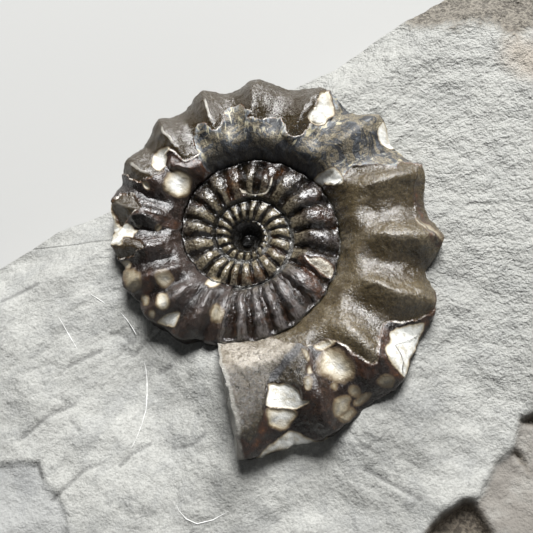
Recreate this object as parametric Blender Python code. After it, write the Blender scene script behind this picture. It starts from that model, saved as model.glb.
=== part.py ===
"""Ribbed Lower Jurassic ammonite on the block of grey mudstone that it was prepared from.

Two loose pieces: the ammonite, and the stone with the socket that the ammonite lies in.
Metres, +Z up. The origin is at the bottom centre of the block's bounding box.
"""

import math

import bmesh
import bpy
from mathutils import Vector, noise

# ---- Driving dimensions of the block -------------------------------------------------
BLOCK_LENGTH = 0.100
BLOCK_WIDTH = 0.092
COIL_CENTRE = Vector((-0.004, 0.004, 0.0195))
SEAT_GAP = 0.0004
SOCKET_TOP = 0.015
MOUTH_CLEARANCE = math.radians(2.1)
MOUTH_SPREAD = math.radians(14.0)

# ---- Driving dimensions of the coil --------------------------------------------------
# Angles run clockwise seen from above, in the direction of growth, from +X.
SEAM_RADIUS = 0.0120
WHORL_EXPANSION = 2.09
APERTURE_ANGLE = math.radians(102.0)
APERTURE_LEAN = math.radians(11.0)
APERTURE_LEAN_SPREAD = math.radians(50.0)
TURNS = 4.1
STATION_STEP = math.radians(4.3)

# ---- Whorl section, as shares of the seam radius -------------------------------------
SEAM_HEIGHT = 0.15
FLANK_RISE = 0.363
WALL_STEEPNESS = 4.5
FLANK_ROUNDING = 2.6
TIP_REACH = 2.048
TROUGH_SHARE = 0.062
VENTER_BULGE = 0.03
FLANK_STEPS = (0.0, 0.03, 0.12, 0.34, 0.62, 0.86, 1.0)
VENTER_STEPS = (0.3, 0.7, 1.0)
LOWER_FLANK_STEPS = (0.72, 0.36)

# ---- Ribs ----------------------------------------------------------------------------
RIB_CRESTS_DEG = (90, 68, 45, 23, 4, -18, -41, -62, -87, -107, -128, -148, -166, -187, -204,
                  -221, -241, -259, -274, -288, -304, -321, -340, -359, -378, -397, -414, -431)
INNER_RIB_STEP_DEG = 16.5
RIB_RELIEF = 0.135
RIB_FADE_START = 0.04
RIB_FADE_END = 0.28
LAST_TURN_FADE_DELAY = 0.14
CREST_ROUNDING = 0.10
CREST_SHARPNESS = 1.3

# ---- Lumps of calcite: angle in degrees, share across the flank, radius, height -------
LUMPS = (
    (-58.0, 0.92, 0.0022, 0.0007),
    (-146.0, 0.42, 0.0016, 0.0008),
    (78.0, 0.55, 0.0028, 0.0006),
    (52.0, 0.42, 0.0024, 0.0005),
)

# ---- Stone: outline of the top edge around the coil centre, in metres ----------------
OUTLINE = (
    (-0.0460, -0.0120), (-0.0335, -0.0028), (-0.0257, 0.0020), (-0.0183, 0.0049),
    (-0.0060, 0.0135), (0.0056, 0.0218), (0.0106, 0.0243), (0.0174, 0.0293),
    (0.0243, 0.0343), (0.0340, 0.0420), (0.0460, 0.0420), (0.0540, 0.0330),
    (0.0540, -0.0140), (0.0470, -0.0330), (0.0300, -0.0500), (-0.0220, -0.0500),
    (-0.0420, -0.0410), (-0.0460, -0.0300),
)
OUTLINE_STATIONS = 92
BEDDING = ((0.0, 0.0020), (0.19, 0.0012), (0.23, 0.0002), (0.47, -0.0006), (0.52, 0.0012),
           (0.74, 0.0008), (0.79, -0.0008), (0.93, -0.0002))
TOP_STEPS = (1.0, 0.95, 0.87, 0.77, 0.65, 0.52, 0.30, 0.10)
STONE_LEVEL = 0.0003
BEVEL_WIDTH = 0.0065
BEVEL_DROP = 0.0034
EDGE_RUN_START = Vector((-0.0460, -0.0120))
EDGE_RUN_END = Vector((0.0243, 0.0343))
LOWER_LEDGE = ((0.0600, -0.0140), (0.0410, -0.0200), (0.0349, -0.0229), (0.0330, -0.0262),
               (0.0308, -0.0277), (0.0300, -0.0303), (0.0272, -0.0318), (0.0262, -0.0345),
               (0.0223, -0.0368), (0.0190, -0.0420), (0.0180, -0.0560), (0.0600, -0.0560))
LOWER_LEDGE_LEVEL = -0.0019
CORNER_LEDGE = ((0.0600, -0.0180), (0.0445, -0.0226), (0.0402, -0.0262), (0.0392, -0.0310),
                (0.0352, -0.0335), (0.0330, -0.0385), (0.0292, -0.0410), (0.0262, -0.0560),
                (0.0600, -0.0560))
CORNER_LEDGE_LEVEL = -0.0056
LEDGE_CLEARANCE = 0.0100
MOUTH_MOUND = 0.0024
MOUTH_MOUND_RUN = 0.0055
MOUTH_INNER = Vector((-0.0031, -0.0146))
MOUTH_RIM = Vector((-0.0005, -0.0290))
CRUST_START = Vector((0.0217, 0.0316))
CRUST_END = Vector((0.0376, 0.0280))
CRUST_DROP = 0.0022
CRUST_RUN = 0.0050
ROUGHNESS_TOP = 0.0004
ROUGHNESS_SIDE = 0.0014
SWELL_PER_METRE = 60.0
ROUGH_PER_METRE = 260.0
SIDE_ROUGH_PER_METRE = 150.0
BED_COUNT = 4

WELD_DISTANCE = 0.00001
FULL_TURN = 2.0 * math.pi
GROWTH_RATE = math.log(WHORL_EXPANSION) / FULL_TURN
LAST_TURN_START = APERTURE_ANGLE - FULL_TURN
OPEN_RIM_RUN = math.radians(8.0)


def smooth_step(low, high, value):
    share = min(max((value - low) / (high - low), 0.0), 1.0)
    return share * share * (3.0 - 2.0 * share)


def blend(first, second, share):
    return first + (second - first) * share


# ---- The coil ------------------------------------------------------------------------

def turn_stations():
    """Angles round the last turn, from the mouth back: evenly spaced between each two crests."""
    crests = [math.radians(degrees) for degrees in RIB_CRESTS_DEG]
    stops = [APERTURE_ANGLE] + [crest for crest in crests if crest > LAST_TURN_START] + [LAST_TURN_START]
    angles = []
    for upper, lower in zip(stops, stops[1:]):
        steps = max(round((upper - lower) / STATION_STEP), 1)
        angles += [blend(upper, lower, step / steps) for step in range(steps)]
    return angles


TURN_STATIONS = turn_stations()
STATIONS_PER_TURN = len(TURN_STATIONS)
STATION_COUNT = round(TURNS * STATIONS_PER_TURN)


def station_angle(station):
    """Stations count outwards from the eye of the coil. Each turn repeats the last one's angles."""
    turns_back, step = divmod(STATION_COUNT - station, STATIONS_PER_TURN)
    return TURN_STATIONS[step] - FULL_TURN * turns_back


def crest_angles():
    """Every rib's crest from the mouth inwards, each on a station, so that no crest is cut off."""
    degrees = [RIB_CRESTS_DEG[0] * 2 - RIB_CRESTS_DEG[1]] + list(RIB_CRESTS_DEG)
    while math.radians(degrees[-1]) > station_angle(0):
        degrees.append(degrees[-1] - INNER_RIB_STEP_DEG)
    stations = [station_angle(station) for station in range(STATION_COUNT + 1)]
    crests = [math.radians(value) for value in degrees]
    inner = [min(stations, key=lambda angle: abs(angle - crest)) for crest in crests[1:-1]]
    return [crests[0]] + inner + [crests[-1]]


CREST_ANGLES = crest_angles()


def rib_crest(angle):
    """1 on the crest of a rib and 0 midway between two."""
    phase = 0.0
    for upper, lower in zip(CREST_ANGLES, CREST_ANGLES[1:]):
        if lower <= angle <= upper:
            phase = (upper - angle) / (upper - lower)
    distance = 2.0 * abs(phase - round(phase))
    rounded = math.hypot(distance, CREST_ROUNDING) - CREST_ROUNDING
    fall = rounded / (math.hypot(1.0, CREST_ROUNDING) - CREST_ROUNDING)
    return max(1.0 - fall, 0.0) ** CREST_SHARPNESS


def open_rim(angle):
    """0 on the inner turns, whose rim the next turn covers, and 1 on the last turn."""
    return smooth_step(LAST_TURN_START, LAST_TURN_START + OPEN_RIM_RUN, angle)


def seam_radius(angle):
    return SEAM_RADIUS * math.exp(GROWTH_RATE * angle)


def place(angle, radius, height):
    """A point of the coil from its growth angle, its distance from the axis and its height."""
    offset = Vector((radius * math.cos(angle), -radius * math.sin(angle), height))
    return COIL_CENTRE + offset


def leaned(angle, across):
    """The broken mouth of the shell leans back towards the rim."""
    near_mouth = smooth_step(APERTURE_ANGLE - APERTURE_LEAN_SPREAD, APERTURE_ANGLE, angle)
    return angle - APERTURE_LEAN * near_mouth * across


def lump_height(angle, across):
    height = 0.0
    here = place(angle, seam_radius(angle) * blend(1.0, WHORL_EXPANSION, across), 0.0)
    for degrees, share, radius, rise in LUMPS:
        lump_angle = math.radians(degrees)
        centre = place(lump_angle, seam_radius(lump_angle) * blend(1.0, WHORL_EXPANSION, share), 0.0)
        distance = (here - centre).length / radius
        height += rise * math.exp(-distance * distance)
    return height


def rim_reach(angle):
    """Distance of the whorl's rim from the axis, as a share of the seam radius."""
    scalloped = TIP_REACH * (1.0 - TROUGH_SHARE * (1.0 - rib_crest(angle)))
    return blend(WHORL_EXPANSION, scalloped, open_rim(angle))


def flank_height(angle, across):
    """Height over the coil's middle plane, as a share of the seam radius."""
    between_seams = SEAM_HEIGHT * blend(1.0, WHORL_EXPANSION, across)
    arch = (1.0 - (1.0 - across) ** WALL_STEEPNESS) * (1.0 - across ** FLANK_ROUNDING)
    last_turn = open_rim(angle)
    delay = LAST_TURN_FADE_DELAY * last_turn
    rise = smooth_step(RIB_FADE_START + delay, RIB_FADE_END + delay, across)
    seam_fade = 1.0 - smooth_step(0.90, 1.0, across)
    relief = RIB_RELIEF * rise * blend(seam_fade, 1.0, last_turn)
    return between_seams + FLANK_RISE * arch - relief * (1.0 - rib_crest(angle))


def flank_point(angle, across, side=1.0):
    seam = seam_radius(angle)
    reach = blend(1.0, rim_reach(angle), across)
    height = seam * flank_height(angle, across)
    if side > 0.0:
        height += lump_height(angle, across)
    return place(leaned(angle, across), seam * reach, side * height)


def venter_point(angle, share):
    """A point of the outer wall, from the upper shoulder (0) to the lower shoulder (1)."""
    seam = seam_radius(angle)
    fill = VENTER_BULGE * (2.0 - rib_crest(angle)) * math.sin(math.pi * share)
    height = seam * flank_height(angle, 1.0) * math.cos(math.pi * share)
    return place(leaned(angle, 1.0), seam * (rim_reach(angle) + fill), height)


def lower_rows():
    """The rows below the rim: the outer wall, then the underside."""
    rows = [("venter", share) for share in VENTER_STEPS]
    rows += [("underside", across) for across in LOWER_FLANK_STEPS]
    return rows


def lower_point(angle, row):
    kind, share = row
    if kind == "venter":
        return venter_point(angle, share)
    return flank_point(angle, share, side=-1.0)


def mapped_grid(mesh, columns, rows, position):
    """Adds a grid of columns × rows vertices, each put where position(column, row) says."""
    made = bmesh.ops.create_grid(mesh, x_segments=columns - 1, y_segments=rows - 1, size=1.0)
    for vertex in made["verts"]:
        column = round((vertex.co.x + 1.0) / 2.0 * (columns - 1))
        row = round((vertex.co.y + 1.0) / 2.0 * (rows - 1))
        vertex.co = position(column, row)
    return made["verts"]


def weld(mesh):
    bmesh.ops.remove_doubles(mesh, verts=mesh.verts, dist=WELD_DISTANCE)


def close_to_point(mesh, edges, point):
    """Fans a boundary loop in to one point."""
    made = bmesh.ops.extrude_edge_only(mesh, edges=edges)
    tips = [item for item in made["geom"] if isinstance(item, bmesh.types.BMVert)]
    bmesh.ops.pointmerge(mesh, verts=tips, merge_co=point)


def nearest_vertex(mesh, point):
    return min(mesh.verts, key=lambda vertex: (vertex.co - point).length_squared)


def close_mouth(mesh):
    """The broken end of the last whorl, a crescent round the whorl inside it."""
    outer = [flank_point(APERTURE_ANGLE, across) for across in FLANK_STEPS]
    outer += [lower_point(APERTURE_ANGLE, row) for row in lower_rows()]
    inner = [lower_point(LAST_TURN_START, row) for row in lower_rows()]
    ring = [nearest_vertex(mesh, point) for point in outer + inner[::-1]]
    bmesh.ops.contextual_create(mesh, geom=ring[len(outer) - 1:len(outer) + 1])
    edges = []
    for vertex, neighbour in zip(ring, ring[1:] + ring[:1]):
        edges += [edge for edge in vertex.link_edges if edge.other_vert(vertex) is neighbour]
    bmesh.ops.edgeloop_fill(mesh, edges=edges)


def boundary_edges(mesh, near_axis):
    """The open edges: those of the eye of the coil, or those outside it."""
    limit = seam_radius(station_angle(STATIONS_PER_TURN + 2))
    chosen = []
    for edge in mesh.edges:
        if len(edge.link_faces) == 1:
            middle = (edge.verts[0].co + edge.verts[1].co) / 2.0 - COIL_CENTRE
            if (middle.xy.length < limit) == near_axis:
                chosen.append(edge)
    return chosen


def ammonite_mesh():
    mesh = bmesh.new()
    rows = lower_rows()
    first = STATION_COUNT - STATIONS_PER_TURN

    def upper(column, row):
        angle = station_angle(column)
        if row == len(FLANK_STEPS) - 1 and column < first:
            return flank_point(angle + FULL_TURN, 0.0)
        return flank_point(angle, FLANK_STEPS[row])

    def lower(column, row):
        if row == 0:
            return flank_point(station_angle(first + column), 1.0)
        return lower_point(station_angle(first + column), rows[row - 1])

    mapped_grid(mesh, STATION_COUNT + 1, len(FLANK_STEPS), upper)
    mapped_grid(mesh, STATIONS_PER_TURN + 1, len(rows) + 1, lower)
    weld(mesh)
    close_mouth(mesh)
    eye = station_angle(0)
    close_to_point(mesh, boundary_edges(mesh, True), place(eye, 0.0, seam_radius(eye) * SEAM_HEIGHT))
    base = -seam_radius(LAST_TURN_START) * flank_height(LAST_TURN_START, LOWER_FLANK_STEPS[-1])
    close_to_point(mesh, boundary_edges(mesh, False), place(0.0, 0.0, base))
    bmesh.ops.triangulate(mesh, faces=mesh.faces)
    bmesh.ops.recalc_face_normals(mesh, faces=mesh.faces)
    return mesh


def socket_mesh():
    """The room that the ammonite needs in the stone: its lower half, open upwards."""
    mesh = bmesh.new()
    rows = lower_rows()
    first = STATION_COUNT - STATIONS_PER_TURN

    def wall(column, row):
        if column == STATIONS_PER_TURN + 1:
            angle = LAST_TURN_START
        else:
            angle = station_angle(first + column)
            angle += MOUTH_CLEARANCE * smooth_step(APERTURE_ANGLE - MOUTH_SPREAD, APERTURE_ANGLE, angle)
        if row == 0:
            return place(leaned(angle, 1.0), seam_radius(angle) * rim_reach(angle), SOCKET_TOP)
        if row == 1:
            return flank_point(angle, 1.0)
        return lower_point(angle, rows[row - 2])

    mapped_grid(mesh, STATIONS_PER_TURN + 2, len(rows) + 2, wall)
    weld(mesh)
    loops = [edge for edge in mesh.edges if edge.is_boundary]
    upper_loop = [edge for edge in loops if edge.verts[0].co.z > COIL_CENTRE.z]
    lower_loop = [edge for edge in loops if edge.verts[0].co.z <= COIL_CENTRE.z]
    base = -seam_radius(LAST_TURN_START) * flank_height(LAST_TURN_START, LOWER_FLANK_STEPS[-1])
    close_to_point(mesh, upper_loop, place(0.0, 0.0, SOCKET_TOP))
    close_to_point(mesh, lower_loop, place(0.0, 0.0, base))
    bmesh.ops.triangulate(mesh, faces=mesh.faces)
    bmesh.ops.recalc_face_normals(mesh, faces=mesh.faces)
    mesh.normal_update()
    grown = {vertex: vertex.co + vertex.normal * SEAT_GAP for vertex in mesh.verts}
    for vertex, position in grown.items():
        vertex.co = position
    return mesh


# ---- The stone -----------------------------------------------------------------------

def outline_point(share):
    """A point of the block's top edge, by its share of the way round."""
    points = [Vector(point) for point in OUTLINE]
    lengths = [(points[i] - points[i - 1]).length for i in range(len(points))]
    travel = share % 1.0 * sum(lengths)
    for i, length in enumerate(lengths):
        if travel <= length:
            return points[i - 1].lerp(points[i], travel / length)
        travel -= length
    return points[-1]


def distance_past(point, start, end):
    """How far a point lies to the right of the line from start to end."""
    along = (end - start).normalized()
    offset = point - start
    return offset.x * along.y - offset.y * along.x


def mouth_nearness(point):
    """1 along the outside of the shell's broken mouth, falling to 0 away from it."""
    run = MOUTH_RIM - MOUTH_INNER
    share = min(max((point - MOUTH_INNER).dot(run) / run.length_squared, 0.0), 1.0)
    distance = (point - MOUTH_INNER.lerp(MOUTH_RIM, share)).length
    return math.exp(-(distance / MOUTH_MOUND_RUN) ** 2)


def stone_top(point):
    """Height of the stone's top over the coil's middle plane, at a point around the coil."""
    height = STONE_LEVEL
    inside = distance_past(point, EDGE_RUN_START, EDGE_RUN_END)
    height -= BEVEL_DROP * (1.0 - smooth_step(0.0, BEVEL_WIDTH, inside))
    height += MOUTH_MOUND * mouth_nearness(point)
    past_crust = -distance_past(point, CRUST_START, CRUST_END)
    height -= CRUST_DROP * smooth_step(0.0, CRUST_RUN, past_crust)
    swell = noise.noise(point.to_3d() * SWELL_PER_METRE)
    rough = noise.noise(point.to_3d() * ROUGH_PER_METRE)
    return height + ROUGHNESS_TOP * (2.0 * swell + rough)


def stone_mesh():
    mesh = bmesh.new()
    rows = len(BEDDING) + len(TOP_STEPS)

    def position(column, row):
        edge = outline_point(column / OUTLINE_STATIONS)
        if row >= len(BEDDING):
            point = edge * TOP_STEPS[row - len(BEDDING)]
            return COIL_CENTRE + Vector((point.x, point.y, stone_top(point)))
        share, step = BEDDING[row]
        top = COIL_CENTRE.z + stone_top(edge)
        bed = round(share * BED_COUNT)
        rough = noise.noise(edge.to_3d() * SIDE_ROUGH_PER_METRE + Vector((0.0, 0.0, bed)))
        point = edge + edge.normalized() * (step + ROUGHNESS_SIDE * rough)
        return Vector((COIL_CENTRE.x + point.x, COIL_CENTRE.y + point.y, top * share))

    mapped_grid(mesh, OUTLINE_STATIONS + 1, rows, position)
    weld(mesh)
    bmesh.ops.holes_fill(mesh, edges=[edge for edge in mesh.edges if edge.is_boundary])
    for vertex in mesh.verts:
        vertex.co.x = min(max(vertex.co.x, -BLOCK_LENGTH / 2.0), BLOCK_LENGTH / 2.0)
        vertex.co.y = min(max(vertex.co.y, -BLOCK_WIDTH / 2.0), BLOCK_WIDTH / 2.0)
    bmesh.ops.triangulate(mesh, faces=mesh.faces)
    bmesh.ops.recalc_face_normals(mesh, faces=mesh.faces)
    return mesh


def ledge_mesh(outline, level):
    """The slab of stone that broke away over a ledge, down to an uneven bedding plane."""
    mesh = bmesh.new()
    made = bmesh.ops.create_circle(mesh, cap_ends=True, radius=1.0, segments=len(outline))
    for vertex, (x, y) in zip(made["verts"], outline):
        uneven = 2.0 * ROUGHNESS_TOP * noise.noise(Vector((x, y, 0.0)) * ROUGH_PER_METRE)
        vertex.co = COIL_CENTRE + Vector((x, y, level + uneven))
    lifted = bmesh.ops.extrude_face_region(mesh, geom=mesh.faces[:])
    for item in lifted["geom"]:
        if isinstance(item, bmesh.types.BMVert):
            item.co.z = COIL_CENTRE.z + LEDGE_CLEARANCE
    bmesh.ops.triangulate(mesh, faces=mesh.faces)
    bmesh.ops.recalc_face_normals(mesh, faces=mesh.faces)
    return mesh


# ---- Scene ---------------------------------------------------------------------------

def make_material(name, colour, roughness):
    material = bpy.data.materials.new(name)
    material.use_nodes = True
    shader = material.node_tree.nodes["Principled BSDF"]
    shader.inputs["Base Color"].default_value = (*colour, 1.0)
    shader.inputs["Roughness"].default_value = roughness
    shader.inputs["Metallic"].default_value = 0.0
    return material


def add_object(name, mesh, collection, material=None):
    data = bpy.data.meshes.new(name)
    mesh.to_mesh(data)
    mesh.free()
    made = bpy.data.objects.new(name, data)
    collection.objects.link(made)
    if material:
        data.materials.append(material)
    return made


def cut_away(target, cutter):
    cutter.hide_render = True
    cutter.display_type = "WIRE"
    cut = target.modifiers.new(cutter.name, "BOOLEAN")
    cut.operation = "DIFFERENCE"
    cut.solver = "EXACT"
    cut.object = cutter


def main():
    for old in list(bpy.data.objects):
        bpy.data.objects.remove(old, do_unlink=True)
    parts = bpy.data.collections.new("ammonite_fossil")
    cutters = bpy.data.collections.new("ammonite_fossil_cutters")
    bpy.context.scene.collection.children.link(parts)
    bpy.context.scene.collection.children.link(cutters)

    shell = make_material("fossil_shell", (0.10, 0.075, 0.055), 0.32)
    mudstone = make_material("grey_mudstone", (0.42, 0.42, 0.40), 0.85)
    ammonite = add_object("ammonite", ammonite_mesh(), parts, shell)
    ammonite.data.shade_smooth()
    ammonite.data.set_sharp_from_angle(angle=math.radians(40.0))
    stone = add_object("matrix_stone", stone_mesh(), parts, mudstone)

    cut_away(stone, add_object("lower_ledge", ledge_mesh(LOWER_LEDGE, LOWER_LEDGE_LEVEL), cutters))
    cut_away(stone, add_object("corner_ledge", ledge_mesh(CORNER_LEDGE, CORNER_LEDGE_LEVEL), cutters))
    cut_away(stone, add_object("ammonite_socket", socket_mesh(), cutters))


main()
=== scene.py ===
"""Looks of the ribbed ammonite on its block of grey mudstone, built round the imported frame.

Units are metres unless a name says millimetres. The coil's angles run clockwise seen from above,
in the direction of growth, from +X. Outlines are in the camera's own 533 x 533 frame, x to the
right and y down; every one of them is laid onto the surface that carries it.
"""
import math

import bmesh
import bpy
import numpy as np
from mathutils import Matrix, Vector, noise


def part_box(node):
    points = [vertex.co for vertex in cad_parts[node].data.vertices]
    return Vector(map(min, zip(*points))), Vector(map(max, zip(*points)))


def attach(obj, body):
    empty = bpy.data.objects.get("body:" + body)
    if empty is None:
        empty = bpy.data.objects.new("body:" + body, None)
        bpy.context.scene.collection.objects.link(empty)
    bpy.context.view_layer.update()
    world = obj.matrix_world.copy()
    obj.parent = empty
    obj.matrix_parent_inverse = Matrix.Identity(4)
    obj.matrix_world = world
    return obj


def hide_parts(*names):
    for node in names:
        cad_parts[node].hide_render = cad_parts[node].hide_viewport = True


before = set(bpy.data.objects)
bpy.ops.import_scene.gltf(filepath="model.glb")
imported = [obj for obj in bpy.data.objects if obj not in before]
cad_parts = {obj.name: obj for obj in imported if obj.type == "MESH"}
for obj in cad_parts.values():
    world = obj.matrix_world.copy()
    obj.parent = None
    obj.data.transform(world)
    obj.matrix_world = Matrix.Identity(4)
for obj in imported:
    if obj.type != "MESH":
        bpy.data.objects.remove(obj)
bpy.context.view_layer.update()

MM = 0.001
FULL_TURN = 2.0 * math.pi

# ---- The coil, as the frame has it -----------------------------------------------------
COIL_CENTRE = np.array((-0.004, 0.004, 0.0195))
SEAM_RADIUS = 0.0120
WHORL_EXPANSION = 2.09
GROWTH_RATE = math.log(WHORL_EXPANSION) / FULL_TURN
MOUTH_DEG = 102.0
MOUTH = math.radians(MOUTH_DEG)
MOUTH_LEAN = math.radians(12.0)
MOUTH_BOW = math.radians(4.0)
MOUTH_LEAN_SPREAD = math.radians(50.0)
LAST_TURN = MOUTH - FULL_TURN
LAST_TURN_SPLIT = math.radians(-74.5)
INNER_TURNS = 3.6
SEAM_HEIGHT = 0.15
FLANK_RISE = 0.363
WALL_STEEPNESS = 4.5
FLANK_ROUNDING = 3.1
LAST_TURN_FLANK_ROUNDING = 3.2
TIP_REACH = 2.048
TROUGH_SHARE = 0.062
VENTER_BULGE = -0.01
# Ribs of the last turn: the angle of the tip at the rim in degrees, how far the rib's middle sways
# from it, how far the tip reaches, and how deep the rim dips between it and the rib before it.
LAST_TURN_RIBS = (
    (124, 0.0, 0.940, 0.50), (101, 0.0, 0.945, 0.50), (70, 0.0, 0.985, 0.45), (45, 1.5, 1.010, 0.50),
    (23, 3.5, 1.000, 1.30), (4, 2.0, 1.000, 1.00), (-18, 1.2, 1.000, 1.00), (-41, 0.0, 1.000, 1.00),
    (-62, -1.0, 1.000, 0.50), (-87, 0.5, 1.010, 0.60), (-107, 0.0, 1.020, 0.50),
    (-128, -1.0, 1.015, 0.40), (-148, -1.5, 1.020, 0.35), (-166, -3.5, 1.010, 0.30),
    (-187, -3.0, 1.000, 0.70), (-204, -5.0, 1.020, 0.50), (-221, -5.5, 1.030, 0.50),
    (-241, -4.0, 1.040, 0.40),
)
INNER_RIBS_DEG = (
    -257, -269.5, -281, -291, -302, -318.5, -336, -354, -373, -391.5, -411.5, -430, -446, -462, -479,
    -495.5, -513, -532, -551.5, -573.5, -591, -605, -617, -631, -648, -664.5, -684, -704.5, -723.5, -741,
    -760, -782, -799, -816, -834, -852, -871, -888.5, -911, -934.5, -956, -976,
)
INNERMOST_RIB_STEP_DEG = 19.0
# How the ribs change as the coil grows, by angle in degrees: their relief, how far they are broad
# bars, and how far they are keen ridges; what is neither is a soft rounded rib.
RIB_AGES_DEG = (-345, -300, -262, -235, -150, -105)
RIB_RELIEFS = (0.175, 0.120, 0.120, 0.135, 0.140, 0.145)
BAR_SHARES = (1.0, 0.1, 0.0, 0.0, 0.0, 0.0)
KEEN_SHARES = (0.0, 0.0, 0.2, 0.5, 0.6, 1.0)
RIM_RELIEF = 0.135
RIB_FADE_START = 0.03
RIB_FADE_END = 0.26
LAST_TURN_FADE_DELAY = 0.10
FADE_DELAY_STRETCH = 1.8
OUTER_FADE_START = 0.89
OUTER_FADE_END = 0.99
CREST_ROUNDING = 0.16
SOFT_ROUNDING = 0.55
SOFT_SHARPNESS = 1.15
TIP_ROUNDING = 0.24
TIP_SHARPNESS = 1.3
RIDGE_SHARPNESS = 1.75
BAR_SHARPNESS = 2.3
BAR_UNEVENNESS = 0.24
BAR_LIFT_SPREAD = 12.9
BAR_LEAN_SPREAD = 7.7
SWAY_HELD_TO = 0.55
OPEN_RIM_RUN = math.radians(8.0)
EYE_RIBS_START = 0.0008
EYE_RIBS_FULL = 0.0020
CROWN_LEVEL = 0.0264
CROWN_ROOM = 0.0010
SEAM_GROOVE = 0.020
SEAM_GROOVE_WIDTH = 0.016

# ---- The camera ------------------------------------------------------------------------
FRAME_SIZE = 533.0
VIEW_ANGLE = math.radians(26.095)
CAMERA_PLACE = COIL_CENTRE + np.array((0.01664, -0.04527, 0.1397))
CAMERA_RIGHT = np.array((0.9953, 0.0139, -0.0961))
CAMERA_UP = np.array((0.0139, 0.9591, 0.2827))
CAMERA_BACK = np.array((0.0961, -0.2827, 0.9544))
FRAME_MM = 0.1285

# ---- Layers of the shell, in millimetres -----------------------------------------------
SHELL_THICKNESS = 0.24
INNER_LAYER_DEPTH = 0.10
EDGE_RUN = 0.16

# ---- How the coil's surfaces wander sideways: by how much in metres, then waves in millimetres --
WANDER = 0.26 * MM
CRINKLE = 0.10 * MM
WANDER_WAVE = 2.6
CRINKLE_WAVE = 0.9
WANDER_SEEDS = (71.0, 83.0)
WANDER_FULL_RADIUS = 9.0
WANDER_LEAST = 0.15

# ---- Numbers that several functions share ----------------------------------------------
# The margin is in the units of the camera's frame, and a curve has so many steps between two points.
ROUGH_FALLOFF = 0.9
ROUGH_STEP = 2.1
CURVE_STEPS = 4
OUTLINE_MARGIN = 24.0
FAR = 1e9
TINY = 1e-9
SEAM_FADE = 0.03
WELD_DISTANCE = 0.002 * MM
SHARP_ANGLE = math.radians(62.0)


# ---- Small helpers ---------------------------------------------------------------------

def smooth_step(low, high, value):
    share = np.clip((value - low) / (high - low), 0.0, 1.0)
    return share * share * (3.0 - 2.0 * share)


def blend(first, second, share):
    return first + (second - first) * share


def rough(points, scale, seed=0.0, octaves=3):
    """Fractal noise about 0, for an array of points in millimetres; scale is its wavelength."""
    flat = (points.reshape(-1, points.shape[-1]) / scale + seed).tolist()
    made = np.array([noise.fractal(point, ROUGH_FALLOFF, ROUGH_STEP, octaves) for point in flat])
    return made.reshape(points.shape[:-1])


def to_frame(points):
    """Where the camera sees points: x to the right and y down in the 533 x 533 frame."""
    offset = points - CAMERA_PLACE
    scale = FRAME_SIZE / 2.0 / math.tan(VIEW_ANGLE / 2.0) / -(offset @ CAMERA_BACK)
    across = FRAME_SIZE / 2.0 + scale * (offset @ CAMERA_RIGHT)
    down = FRAME_SIZE / 2.0 - scale * (offset @ CAMERA_UP)
    return np.stack((across, down), axis=-1)


def rounded(outline):
    """A closed outline with a smooth curve through its points."""
    points = np.array(outline, float)
    before, after, beyond = np.roll(points, 1, 0), np.roll(points, -1, 0), np.roll(points, -2, 0)
    curve = []
    for step in range(CURVE_STEPS):
        t = step / CURVE_STEPS
        curve.append(0.5 * (2.0 * points + (after - before) * t
                            + (2.0 * before - 5.0 * points + 4.0 * after - beyond) * t * t
                            + (3.0 * points - before - 3.0 * after + beyond) * t ** 3))
    return np.stack(curve, axis=1).reshape(-1, 2)


def from_centre(points):
    """Points in the frame as millimetres from the coil's centre."""
    return (points - COIL_CENTRE) / MM


def with_zero(points):
    """Flat points with a third coordinate of 0."""
    return np.concatenate((points, np.zeros(points.shape[:-1] + (1,))), axis=-1)


def line_distance(places, start, end):
    run = end - start
    share = np.clip(((places - start) @ run) / max(run @ run, TINY), 0.0, 1.0)
    return np.linalg.norm(places - start - share[..., None] * run, axis=-1)


def inside(places, outline, smooth=True):
    """How far inside an outline each place is, in millimetres; negative outside it."""
    points = rounded(outline) if smooth else np.array(outline, float)
    made = np.full(places.shape[:-1], -OUTLINE_MARGIN)
    low, high = points.min(0) - OUTLINE_MARGIN, points.max(0) + OUTLINE_MARGIN
    near = np.all((places > low) & (places < high), axis=-1)
    spots = places[near]
    distance = np.full(len(spots), FAR)
    crossings = np.zeros(len(spots), bool)
    for start, end in zip(points, np.roll(points, -1, 0)):
        distance = np.minimum(distance, line_distance(spots, start, end))
        level = (start[1] > spots[:, 1]) != (end[1] > spots[:, 1])
        rise = end[1] - start[1] if end[1] != start[1] else TINY
        reach = start[0] + (spots[:, 1] - start[1]) * (end[0] - start[0]) / rise
        crossings ^= level & (spots[:, 0] < reach)
    made[near] = np.where(crossings, distance, -distance)
    return made * FRAME_MM


def beside(places, line):
    """Distance to an open line, in millimetres."""
    points = np.array(line, float)
    made = np.full(places.shape[:-1], FAR)
    for start, end in zip(points, points[1:]):
        made = np.minimum(made, line_distance(places, start, end))
    return made * FRAME_MM


# ---- The coil --------------------------------------------------------------------------

def rib_list():
    """Every rib from the eye of the coil outwards: angle and sway, tip's reach and dip of the rim."""
    ribs = list(LAST_TURN_RIBS) + [(angle, 0.0, 1.0, 1.0) for angle in INNER_RIBS_DEG]
    while math.radians(ribs[-1][0]) > LAST_TURN - FULL_TURN * (INNER_TURNS + 0.2):
        ribs.append((ribs[-1][0] - INNERMOST_RIB_STEP_DEG, 0.0, 1.0, 1.0))
    ribs = np.array(sorted(ribs))
    ribs[:, :2] = np.radians(ribs[:, :2])
    return ribs


RIBS = rib_list()


def rib_phase(angle, across):
    """Counts ribs from the eye outwards: a whole number on the crest of each."""
    sway = np.interp(angle, RIBS[:, 0], RIBS[:, 1])
    straight = angle - sway * (1.0 - smooth_step(SWAY_HELD_TO, 1.0, across))
    return np.interp(straight, RIBS[:, 0], np.arange(len(RIBS)))


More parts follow.
